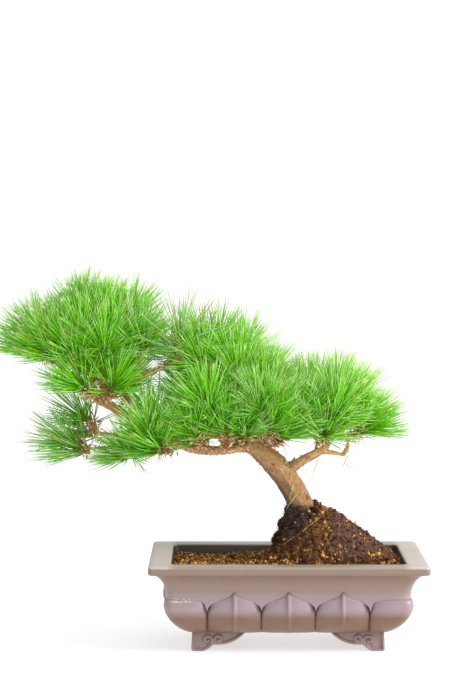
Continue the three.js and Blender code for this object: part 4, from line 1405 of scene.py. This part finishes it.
def turns(count, random):
    """Random turns, as matrices."""
    q = unit(random.normal(size=(count, 4)))
    w, x, y, z = q.T
    rows = [
        [1 - 2 * (y * y + z * z), 2 * (x * y - z * w), 2 * (x * z + y * w)],
        [2 * (x * y + z * w), 1 - 2 * (x * x + z * z), 2 * (y * z - x * w)],
        [2 * (x * z - y * w), 2 * (y * z + x * w), 1 - 2 * (x * x + y * y)],
    ]
    return np.moveaxis(np.array(rows), 2, 0)


def strewn(name, places, sizes, random, tints):
    """Grains at places, each of its own size, turn and tint."""
    models = grain_models(GRAIN_SHAPES, random)
    kind = random.integers(len(models), size=len(places))
    parts = []
    for number, model in enumerate(models):
        mine = kind == number
        turned = np.einsum("nij,kj->nki", turns(int(mine.sum()), random), points_of(model))
        points = turned * sizes[mine, None, None] + places[mine, None]
        parts.append(repeated(name, model, points, tints[mine]))
        remove(model)
    clear_selection()
    for part in parts:
        part.select_set(True)
    bpy.context.view_layer.objects.active = parts[0]
    bpy.ops.object.join()
    return named(parts[0], name)


def grain_sizes(soil, table, count, random):
    """Sizes of grains, drawn from a table of shares and how common each is."""
    return soil.grain * random.choice(list(table), size=count, p=list(table.values()))


def grain_crowd(places):
    """1 where the root ball's grains crowd together, 0 between the crowds."""
    return rise(fractal(places, 12 * MM, 2), -0.15, 0.3)


def on_bed(places, normals):
    """How thickly grains lie on the soil bed: evenly over its upper side."""
    return (normals[:, 2] > 0.3) & (places[:, 2] > 80 * MM)


def on_ball(places, normals):
    """How thickly grains lie on the root ball: mostly on the bare soil of its front."""
    to_front = rise(normals[:, 1], 0.35, -0.25)
    bare = to_front * (1 - root_mat(places)) * (1 - 0.88 * felt_mat(places))
    return (places[:, 2] > 84 * MM) * (0.012 + bare * (0.2 + 0.8 * grain_crowd(places)))


def strew_bed(soil, random):
    """Grains all over the soil bed, in a left and a right piece."""
    bed = bpy.data.objects["soil_earth"]
    places, normals = surface_points(bed, BED_GRAIN_TRIES, random, on_bed)
    sizes = grain_sizes(soil, BED_GRAIN_SIZES, len(places), random)
    chosen = spaced(places, 0.75 * sizes)
    places, sizes, normals = places[chosen], sizes[chosen], normals[chosen]
    places = places + normals * (sizes * random.uniform(0.0, 0.45, len(sizes)))[:, None]
    patches = rise(fractal(places, 9 * MM, 2), -0.2, 0.4)
    tints = 0.75 * random.random(len(places)) + 0.25 * patches
    material = grain_finish(soil, "soil_grains", 0.42)
    left = places[:, 0] < BALL_PEAK[0]
    for name, mine in (("soil_grains_left", left), ("soil_grains_right", ~left)):
        heap = strewn(name, places[mine], sizes[mine], random, tints[mine])
        finished(heap, material, "soil")


def strew_ball(soil, random):
    """Grains on the root ball's front, paler where they crowd together."""
    ball = bpy.data.objects["root_ball_earth"]
    places, normals = surface_points(ball, BALL_GRAIN_TRIES, random, on_ball)
    crowd = grain_crowd(places)
    sizes = grain_sizes(soil, BALL_GRAIN_SIZES, len(places), random)
    chosen = spaced(places, sizes * (0.7 + 0.7 * random.random(len(places))))
    places, sizes, normals, crowd = (part[chosen] for part in (places, sizes, normals, crowd))
    places = places + normals * sizes[:, None] * 0.12
    tints = random.random(len(places)) ** 1.8 * (0.35 + 0.6 * crowd) + 0.2 * crowd
    heap = strewn("root_ball_grains", places, sizes, random, tints)
    finished(heap, grain_finish(soil, "root_ball_grains", 0.5), "root_soil")


class BONSAI_OT_grains(bpy.types.Operator):
    """Strews fired-clay grains over the soil and the front of the root ball"""
    bl_idname = "bonsai.grains"
    bl_label = "Soil grains"

    def execute(self, context):
        soil = context.scene.bonsai_soil
        random = np.random.default_rng(GRAIN_SEED)
        strew_bed(soil, random)
        strew_ball(soil, random)
        return {"FINISHED"}


def fibrous_ball(places, normals):
    """How thickly fine roots lie on the root ball: most on its right slope and left cliff."""
    fine = rise(places[:, 0] - BALL_PEAK[0], 0, 20 * MM)
    cliff = rise(BALL_PEAK[0] - places[:, 0], 0, 14 * MM)
    return (places[:, 2] > 86 * MM) * (0.25 + fine * 0.8 + cliff)


def trunk_foot(places, normals):
    """1 round the trunk's foot, 0 above and below it and on the boughs."""
    _, _, away = along_trunk(places)
    above = rise(places[:, 2], 112 * MM, 122 * MM)
    return (away < 24 * MM) * above * rise(places[:, 2], 158 * MM, 146 * MM)


def lay_ball_fibres(ball, model, material, random):
    """Fine dead roots that lie down the root ball's slopes."""
    roots, normals = surface_points(ball, BALL_FIBRES, random, fibrous_ball)
    down = unit(np.array([0, 0, -1.0]) - normals * (-normals[:, 2:3]))
    stray = random.normal(size=roots.shape)
    lie = unit(down + 0.9 * stray + normals * random.uniform(0.0, 0.7, (len(roots), 1)))
    reach = random.uniform(2.5, 8, (len(roots), 1)) * MM
    bows = (0.14 * random.normal(size=roots.shape) + 0.12 * normals) * reach
    widths = random.uniform(0.09, 0.22, len(roots)) * MM
    start = roots - 0.4 * MM * normals
    fibres = strands("root_fibres", model, start, start + lie * reach, bows, widths, random)
    finished(fibres, material, "root_soil")


def lay_collar(wood, model, material, random):
    """Fine roots that wind round the trunk's foot."""
    roots, normals = surface_points(wood, COLLAR_FIBRES, random, trunk_foot)
    stray = random.normal(size=roots.shape)
    round_about = np.cross(normals, np.array([0, 0, 1.0]))
    round_about = round_about * random.choice([-1, 1], (len(roots), 1))
    lie = unit(round_about + 0.5 * stray + np.array([0, 0, -0.7]) + 0.25 * normals)
    reach = random.uniform(3, 10, (len(roots), 1)) * MM
    bows = (0.1 * random.normal(size=roots.shape) + 0.22 * normals) * reach
    widths = random.uniform(0.12, 0.3, len(roots)) * MM
    collar = strands("trunk_foot_fibres", model, roots, roots + lie * reach, bows, widths,
                     random, random.random(len(roots)) * 0.6)
    finished(collar, material, "root_soil")


def press_clods(wood, material, random):
    """Clods of earth that cling round the trunk's foot."""
    places, normals = surface_points(wood, COLLAR_CLODS, random, trunk_foot)
    sizes = random.uniform(4, 9, len(places)) * MM
    places = places + normals * 0.12 * sizes[:, None]
    clods = strewn("trunk_foot_clods", places, sizes, random, random.random(len(places)) * 0.5)
    finished(clods, material, "root_soil")


def lay_straw(ball, soil):
    """One dry stalk that lies up the front of the root ball."""
    tree = surface_of(ball)
    path = []
    for x, z in np.linspace(*STRAW_ENDS, 16):
        hit = tree.ray_cast(Vector(POT_MIDDLE + (x, -90 * MM, z)), Vector((0, 1, 0)))[0]
        if hit is not None:
            path.append(hit - Vector((0, 1.0 * MM, 0)))
    finished(tube("straw", path, STRAW_RADIUS), straw_finish(soil), "root_soil")


class BONSAI_OT_root_fibres(bpy.types.Operator):
    """Lays fine dead roots over the root ball and round the trunk's foot, with clods and a stalk"""
    bl_idname = "bonsai.root_fibres"
    bl_label = "Root fibres"

    def execute(self, context):
        soil = context.scene.bonsai_soil
        random = np.random.default_rng(FIBRE_SEED)
        ball = bpy.data.objects["root_ball_earth"]
        wood = bpy.data.objects["wood"]
        model = strand_model(3, FIBRE_RADII)
        material = fibre_finish(soil)
        lay_ball_fibres(ball, model, material, random)
        lay_collar(wood, model, material, random)
        remove(model)
        press_clods(wood, material, random)
        lay_straw(ball, soil)
        return {"FINISHED"}


# ---------------------------------------------------------------- shoots and needles

# Radii of each kind of rod from its root on, as shares of its width.
NEEDLE_RADII = (0.75, 0.95, 1, 1, 0.9, 0.6)
STEM_RADII = (1, 1.05, 0.95, 1.05, 0.95, 1, 0.9, 0.75, 0.5)
DRY_RADII = (0.8, 1, 1, 0.9, 0.6)

# Radii of the stems of the sprays' own shoots and of the smaller ones.
STEM_RADIUS = 1.7 * MM
SIDE_STEM_RADIUS = 1.2 * MM

# Papery scales round a spray's own shoot, and round a smaller shoot or one in a sparse pad.
BUD_SCALES = 60
FEW_BUD_SCALES = 12
BARK_SCALES = 4100
DRY_PER_SPRAY = 14
DRY_RADIUS = 0.36 * MM
LOOSE_RADIUS = 0.45 * MM

# Green needles that hang loose from the boughs: the root and the tip of each.
LOOSE_NEEDLES = MM * np.array([
    ((10, -19, 189), (1, -22, 157)), ((34, -14, 205), (24, -17, 176)),
    ((67, -10, 208), (60, -13, 192)), ((62, -8, 200), (79, -10, 197)),
    ((-26, -24, 215), (-50, -26, 205)), ((14, -19, 172), (-4, -20, 146)),
]) + POT_MIDDLE


def spray_node(number):
    return f"needle_spray_{number:02d}"


def spray_of(number):
    """The foot and direction of a spray's core, and the root and tip of each of its needles."""
    node = frame["nodes"][spray_node(number)]
    mesh = node.data
    merged, index = np.unique(points_of(node).round(6), axis=0, return_inverse=True)
    index = index.ravel()
    near = [set() for _ in merged]
    for face in mesh.polygons:
        corners = {int(index[i]) for i in face.vertices}
        for corner in corners:
            near[corner] |= corners - {corner}
    needles = []
    core = []
    shortest = 20 * MM
    for corner, ring in enumerate(near):
        root = merged[list(ring)].mean(axis=0)
        if len(ring) == 3 and np.linalg.norm(merged[corner] - root) > shortest:
            needles.append((root, merged[corner]))
        else:
            core.append(merged[corner])
    core = np.array(core)
    middle = core.mean(axis=0)
    axis = np.linalg.svd(core - middle)[2][0]
    roots, tips = (np.array(side) for side in zip(*needles))
    if axis @ (tips.mean(axis=0) - middle) < 0:
        axis = -axis
    low = ((core - middle) @ axis).min()
    return {"foot": middle + low * axis, "axis": axis, "roots": roots, "tips": tips,
            "length": float(np.ptp((core - middle) @ axis))}


def in_gap(place):
    """Whether a place lies in one of the crown's gaps, seen from the front."""
    away = np.linalg.norm(GAPS[:, :2] - (place - POT_MIDDLE)[[0, 2]], axis=1)
    return bool(np.any(away < GAPS[:, 2]))


def side_shoots_of(number, spray, needles):
    """Smaller shoots beside and behind a spray's own, turned a little away from it."""
    lift = next(SIDE_SHOOT_LIFT.get(pad, 0) for pad in PADS if number in PADS[pad])
    lift = lift * (1 + 0.8 * rise(POT_MIDDLE[0] - spray["foot"][0], 30 * MM, 70 * MM))
    parent = spray["foot"] - 4 * MM * spray["axis"]
    random = np.random.default_rng(SIDE_SHOOT_SEED + number)
    shoots = []
    for _ in range(needles.side_shoots):
        side = across(spray["axis"][None], random)[0][0]
        side[1] = abs(side[1])
        aim = spray["axis"] + random.uniform(0.35, 0.75) * side + (0, 0, 0.3)
        foot = spray["foot"] + random.uniform(4, 8) * MM * side
        foot = foot + random.uniform(-4, 3) * MM * spray["axis"] + (0, 0, lift)
        reach = random.uniform(9, 15) * MM
        if not in_gap(foot):
            shoots.append({"foot": foot, "axis": unit(aim), "length": reach, "parent": parent})
    return shoots


def every_shoot(needles):
    """All shoots of the tree: the sprays' own, then the smaller ones beside them."""
    numbers = [number for pad in PADS.values() for number in pad]
    sprays = [spray_of(number) for number in numbers]
    beside = [side_shoots_of(n, spray, needles) for n, spray in zip(numbers, sprays)]
    return sprays, [shoot for shoots in beside for shoot in shoots]


def open_needles(shoot, count, droop, random):
    """Roots and directions of a side shoot's pairs, the widest at its foot."""
    up = np.linspace(0.05, 1, count)[:, None]
    turn = np.arange(count) * math.pi * (3 - math.sqrt(5)) + random.uniform(0, 6.3)
    side, other = across(shoot["axis"][None], random)
    radial = np.cos(turn)[:, None] * side + np.sin(turn)[:, None] * other
    tilt = np.radians(74 - 64 * up + random.normal(0, 7, (count, 1)))
    heading = np.cos(tilt) * shoot["axis"] + np.sin(tilt) * radial
    heading[:, 2] *= np.where(heading[:, 2] < 0, 0.5 * droop, 1)
    roots = shoot["foot"] + up * shoot["length"] * shoot["axis"] + 0.8 * MM * radial
    return roots, unit(heading)


def needles_of(spray, pairs, pad, needles, random):
    """Pairs of fine needles that fill out a spray's own: their roots, tips and bows."""
    longer = SPARSE_PADS.get(pad, 1)
    base = np.repeat(spray["roots"], pairs, axis=0)
    reach = np.repeat(spray["tips"] - spray["roots"], pairs, axis=0)
    size = np.linalg.norm(reach, axis=1, keepdims=True)
    stray = random.normal(size=base.shape) * needles.spread
    stray[::pairs] *= 0.25
    heading = reach / size + stray
    heading[:, 2] *= np.where(heading[:, 2] < 0, needles.droop, 1)
    heading[:, 2] += PAD_RISE.get(pad, 0)
    heading = unit(heading)
    up_core = random.uniform(-1.4, 1.8, (len(base), 1)) * MM
    base = base + spray["axis"] * up_core
    size = size * longer * random.uniform(0.82, 1.1, (len(base), 1))
    return in_pairs(base, heading, size, needles, random)


def in_pairs(base, heading, size, needles, random):
    """Two needles for each root and direction: their roots, tips and bows."""
    side, _ = across(heading, random)
    fork = math.tan(needles.fork / 2)
    roots, tips = [], []
    for sign in (-1, 1):
        gap = side * sign * 0.25 * needles.width
        roots.append(base + gap)
        along = size * random.uniform(0.95, 1.0, size.shape)
        tips.append(base + gap + unit(heading + side * sign * fork) * along)
    roots, tips = np.concatenate(roots), np.concatenate(tips)
    reach = tips - roots
    bows = np.linalg.norm(reach, axis=1, keepdims=True) * 0.012 * random.normal(size=roots.shape)
    flat = 1 - np.abs(unit(reach)[:, 2:3])
    bows = bows - np.array([0, 0, 1.0]) * flat * 0.02 * np.linalg.norm(reach, axis=1)[:, None]
    return roots, tips, bows


def grow_pad(pad, needles, random):
    """The pairs of needles of each shoot in a pad, with each shoot's own tint."""
    sparse = pad in SPARSE_PADS
    palest = SPARSE_TINTS if sparse else SHOOT_TINTS
    count = needles.side_pairs // (SPARSE_DIVISOR if sparse else 1)
    parts = []
    tints = []
    for number in PADS[pad]:
        spray = spray_of(number)
        open_air = in_gap(spray["foot"] + 20 * MM * spray["axis"])
        pairs = 1 if sparse or open_air else needles.pairs
        parts.append(needles_of(spray, pairs, pad, needles, random))
        tints.append(random.uniform(*palest))
        for shoot in side_shoots_of(number, spray, needles):
            base, heading = open_needles(shoot, count, needles.droop, random)
            size = needles.length * random.uniform(0.72, 1.0, (len(base), 1))
            parts.append(in_pairs(base, heading, size, needles, random))
            tints.append(random.uniform(*palest))
    return parts, tints


class BONSAI_OT_needles(bpy.types.Operator):
    """Grows fine needles in pairs out of every shoot"""
    bl_idname = "bonsai.needles"
    bl_label = "Needles"

    def execute(self, context):
        needles = context.scene.bonsai_needles
        random = np.random.default_rng(NEEDLE_SEED)
        model = strand_model(3, NEEDLE_RADII)
        material = needle_finish(needles)
        for pad, numbers in PADS.items():
            parts, shoot_tints = grow_pad(pad, needles, random)
            tints = np.concatenate([
                tint + TINT_SPREAD * random.random(len(part[0])) + TINT_SHIFT
                for tint, part in zip(shoot_tints, parts)
            ])
            tints[random.random(len(tints)) < needles.dying] = DYING_TINT
            roots, tips, bows = (np.concatenate(side) for side in zip(*parts))
            widths = needles.width / 2 * random.uniform(0.85, 1.15, len(roots))
            piece = strands(f"needles_{pad}", model, roots, tips, bows, widths, random, tints)
            finished(piece, material, "foliage", *map(spray_node, numbers))
        remove(model)
        return {"FINISHED"}


def scale_model():
    """A papery scale of length 1: a small cupped leaf with a point."""
    clear_selection()
    bpy.ops.mesh.primitive_grid_add(x_subdivisions=2, y_subdivisions=3, size=1)
    scale = bpy.context.object
    points = points_of(scale)
    along = points[:, 1] + 0.5
    across_leaf = points[:, 0]
    width = np.sin(np.clip(along * 0.85 + 0.18, 0, 1) * math.pi) ** 0.7 + 0.02
    cup = 0.35 * across_leaf ** 2 * width - 0.12 * np.sin(along * math.pi)
    move_points(scale, np.stack([across_leaf * width * 0.8, cup, along], axis=1))
    modify(scale, "SOLIDIFY", thickness=0.05, offset=0)
    return scale


def measures(shoots):
    """The feet, directions and lengths of shoots, as arrays."""
    feet = np.array([shoot["foot"] for shoot in shoots])
    axes = np.array([shoot["axis"] for shoot in shoots])
    return feet, axes, np.array([shoot["length"] for shoot in shoots])[:, None]


def grow_stems(sprays, beside, material, random):
    """The stem of each shoot. A smaller shoot's stem bends out of its spray's foot."""
    own = len(sprays)
    feet, axes, lengths = measures(sprays + beside)
    stem = strand_model(8, STEM_RADII)
    starts = feet - 1.5 * MM * axes
    starts[own:] = [shoot["parent"] for shoot in beside]
    ends = feet + lengths * axes
    bows = np.zeros_like(feet)
    bows[own:] = 0.5 * (feet - (starts + ends) / 2)[own:]
    widths = np.full(len(feet), STEM_RADIUS)
    widths[own:] = SIDE_STEM_RADIUS
    finished(strands("shoot_stems", stem, starts, ends, bows, widths, random), material, "bark")
    remove(stem)


def wrap_buds(sprays, beside, model, material, random):
    """Papery scales round the foot of each shoot."""
    feet, axes, lengths = measures(sprays + beside)
    sparse = {number for pad in SPARSE_PADS for number in PADS[pad]}
    counts = np.full(len(feet), FEW_BUD_SCALES)
    counts[:len(sprays)] = [
        FEW_BUD_SCALES if number in sparse else BUD_SCALES
        for pad in PADS.values() for number in pad
    ]
    index = np.repeat(np.arange(len(feet)), counts)
    up = random.uniform(-0.8, 0.4, (len(index), 1))
    side, _ = across(axes[index], random)
    roots = feet[index] + axes[index] * up * lengths[index] + side * 1.6 * MM
    roots = roots + np.array([0, -1.5, -0.5]) * MM
    heading = axes[index] * random.uniform(-0.2, 1.3, (len(index), 1)) + side
    heading = unit(heading + np.array([0, -0.5, -0.1]))
    reach = random.uniform(4, 11, (len(index), 1)) * MM
    reach *= np.where(counts[index] == FEW_BUD_SCALES, 0.65, 1)[:, None]
    scales = strands("bud_scales", model, roots, roots + heading * reach,
                     np.zeros_like(roots), reach[:, 0] * 0.4, random)
    finished(scales, material, "bark")


def thin_wood(places, normals):
    """How thickly bark scales stand: on the boughs and twigs, most on their upper side."""
    _, _, away = along_trunk(places)
    low = rise(places[:, 2], 262 * MM, 236 * MM)
    x = places[:, 0] - POT_MIDDLE[0]
    bare = (away < 14 * MM) | ((x > 8 * MM) & (x < 62 * MM)) | (x < -185 * MM)
    on_top = rise(normals[:, 2], 0.1, 0.8) * (x < 0)
    return (places[:, 2] > 190 * MM) * (0.25 + low + 1.5 * on_top) * np.where(bare, 0.04, 1)


def raise_bark_scales(model, material, random):
    """Small scales that stand off the bark of the boughs and twigs."""
    roots, normals = surface_points(bpy.data.objects["wood"], BARK_SCALES, random, thin_wood)
    lie = random.normal(size=roots.shape)
    lie = unit(lie - normals * np.sum(lie * normals, axis=1, keepdims=True))
    heading = unit(lie + random.uniform(0.05, 0.5, (len(roots), 1)) * normals)
    reach = random.uniform(1.6, 3.8, (len(roots), 1)) * MM
    reach = reach * (1 + 0.9 * rise(normals[:, 2:], 0.1, 0.8))
    flakes = strands("bark_scales", model, roots, roots + heading * reach,
                     np.zeros_like(roots), reach[:, 0] * 0.5, random)
    finished(flakes, material, "bark")


class BONSAI_OT_shoots(bpy.types.Operator):
    """Models the shoots' stems, the papery scales round their feet and those on the boughs"""
    bl_idname = "bonsai.shoots"
    bl_label = "Shoots"

    def execute(self, context):
        random = np.random.default_rng(SHOOT_SEED)
        sprays, beside = every_shoot(context.scene.bonsai_needles)
        material = scale_finish(context.scene.bonsai_wood)
        grow_stems(sprays, beside, material, random)
        model = scale_model()
        wrap_buds(sprays, beside, model, material, random)
        raise_bark_scales(model, material, random)
        remove(model)
        return {"FINISHED"}


def catch_dry_needles(sprays, model, material, random):
    """Dead needles caught round the feet of the sprays."""
    feet, axes, _ = measures(sprays)
    index = np.repeat(np.arange(len(feet)), DRY_PER_SPRAY)
    side, _ = across(axes[index], random)
    back = random.uniform(-0.9, 0.35, (len(index), 1))
    heading = unit(side + back * axes[index] + np.array([0, 0, -0.25]))
    reach = random.uniform(8, 26, (len(index), 1)) * MM
    roots = feet[index] + axes[index] * random.uniform(-4, 4, (len(index), 1)) * MM
    bows = 0.05 * reach * random.normal(size=roots.shape)
    widths = np.full(len(roots), DRY_RADIUS)
    piece = strands("dry_needles", model, roots, roots + heading * reach, bows, widths, random)
    finished(piece, material, "foliage")


def hang_loose_needles(model, random):
    """A few green needles that hang from the boughs."""
    roots, tips = LOOSE_NEEDLES[:, 0], LOOSE_NEEDLES[:, 1]
    bows = MM * random.normal(size=roots.shape) * (2, 0.6, 2)
    widths = np.full(len(roots), LOOSE_RADIUS)
    tints = np.full(len(roots), LOOSE_TINT)
    piece = strands("hanging_needles", model, roots, tips, bows, widths, random, tints)
    finished(piece, bpy.data.materials["needles"], "foliage")


class BONSAI_OT_dry_needles(bpy.types.Operator):
    """Leaves dead needles caught in the shoots, and a few loose green ones hanging below"""
    bl_idname = "bonsai.dry_needles"
    bl_label = "Dry needles"

    def execute(self, context):
        needles = context.scene.bonsai_needles
        random = np.random.default_rng(DRY_SEED)
        model = strand_model(3, DRY_RADII)
        sprays, _ = every_shoot(needles)
        material = dry_finish(needles, context.scene.bonsai_wood)
        catch_dry_needles(sprays, model, material, random)
        hang_loose_needles(model, random)
        remove(model)
        return {"FINISHED"}


# ---------------------------------------------------------------- stage

def studio_sky(world, stage):
    """A sky that is white to the eye, and lights more from above and from the right."""
    sky = Nodes(world.node_tree, "Generated")
    x, _, z = sky.parts(sky.place)
    light = stage.sky * (0.5 + 0.95 * sky.math("MAXIMUM", z, 0.0) + 0.2 * x)
    seen = sky.node("ShaderNodeLightPath", {}, "Is Camera Ray")
    shader = sky.tree.nodes["Background"]
    sky.join((1, 1, 1), shader.inputs["Color"])
    sky.join(light + (1.1 - light) * seen, shader.inputs["Strength"])


def place_camera():
    """The camera at its place, level with its sides and pitched down a little."""
    clear_selection()
    place = POT_MIDDLE + CAMERA_PLACE
    bpy.ops.object.camera_add(location=place, rotation=(math.pi / 2 - CAMERA_PITCH, 0, 0))
    bpy.context.scene.camera = bpy.context.object
    camera = bpy.context.object.data
    camera.sensor_fit = "VERTICAL"
    camera.sensor_height = SENSOR_HEIGHT
    camera.lens = SENSOR_HEIGHT * FOCAL_PIXELS / IMAGE_HEIGHT
    camera.clip_end = 100


def place_key_light(stage):
    """A broad soft light from the right, above and in front."""
    clear_selection()
    bpy.ops.object.light_add(type="AREA", location=POT_MIDDLE + KEY_PLACE)
    light = bpy.context.object
    light.name = "key"
    light.data.size = KEY_SIZE
    light.data.energy = stage.key
    light.data.color = stage.key_colour
    aim = Vector(POT_MIDDLE + KEY_TARGET) - light.location
    light.rotation_euler = aim.to_track_quat("-Z", "Y").to_euler()


def lay_floor(stage):
    """A pale floor that gives off a little light, so that it melts into the sky."""
    clear_selection()
    bpy.ops.mesh.primitive_plane_add(size=FLOOR_SIZE, location=(0, 0, 0))
    floor = named(bpy.context.object, "floor")
    finish = Finish("pale_floor", Roughness=0.6, Specular_IOR_Level=0.3,
                    Emission_Color=(1, 1, 1, 1), Emission_Strength=stage.glow)
    floor.data.materials.append(finish.done(stage.floor))


class BONSAI_OT_stage(bpy.types.Operator):
    """Sets the camera, the light and the pale floor"""
    bl_idname = "bonsai.stage"
    bl_label = "Stage"

    def execute(self, context):
        stage = context.scene.bonsai_stage
        place_camera()
        world = bpy.data.worlds.new("studio")
        context.scene.world = world
        world.use_nodes = True
        studio_sky(world, stage)
        context.scene.view_settings.view_transform = "Standard"
        place_key_light(stage)
        lay_floor(stage)
        return {"FINISHED"}


# ---------------------------------------------------------------- panel and main

STEPS = (
    BONSAI_OT_stage, BONSAI_OT_pot, BONSAI_OT_drainage, BONSAI_OT_wood, BONSAI_OT_root_ball,
    BONSAI_OT_soil, BONSAI_OT_grains, BONSAI_OT_root_fibres, BONSAI_OT_needles,
    BONSAI_OT_shoots, BONSAI_OT_dry_needles,
)
SETTINGS = {
    "bonsai_pot": PotSettings,
    "bonsai_wood": WoodSettings,
    "bonsai_soil": SoilSettings,
    "bonsai_needles": NeedleSettings,
    "bonsai_stage": StageSettings,
}


class BONSAI_PT_panel(bpy.types.Panel):
    """Lists the settings and the steps that build the tree"""
    bl_idname = "BONSAI_PT_panel"
    bl_label = "Bonsai Pine"
    bl_space_type = "VIEW_3D"
    bl_region_type = "UI"
    bl_category = "Bonsai"

    def draw(self, context):
        for step in STEPS:
            self.layout.operator(step.bl_idname)
        for name in SETTINGS:
            box = self.layout.box()
            settings = getattr(context.scene, name)
            for key in settings.bl_rna.properties.keys():
                if key not in ("rna_type", "name"):
                    box.prop(settings, key)


def register():
    for kind in (*SETTINGS.values(), *STEPS, BONSAI_PT_panel):
        bpy.utils.register_class(kind)
    for name, kind in SETTINGS.items():
        setattr(bpy.types.Scene, name, PointerProperty(type=kind))


def unregister():
    for name in SETTINGS:
        delattr(bpy.types.Scene, name)
    for kind in (BONSAI_PT_panel, *reversed(STEPS), *SETTINGS.values()):
        bpy.utils.unregister_class(kind)


def main():
    register()
    for step in STEPS:
        area, name = step.bl_idname.split(".")
        getattr(getattr(bpy.ops, area), name)()
    bpy.context.view_layer.update()


if __name__ == "__main__":
    main()
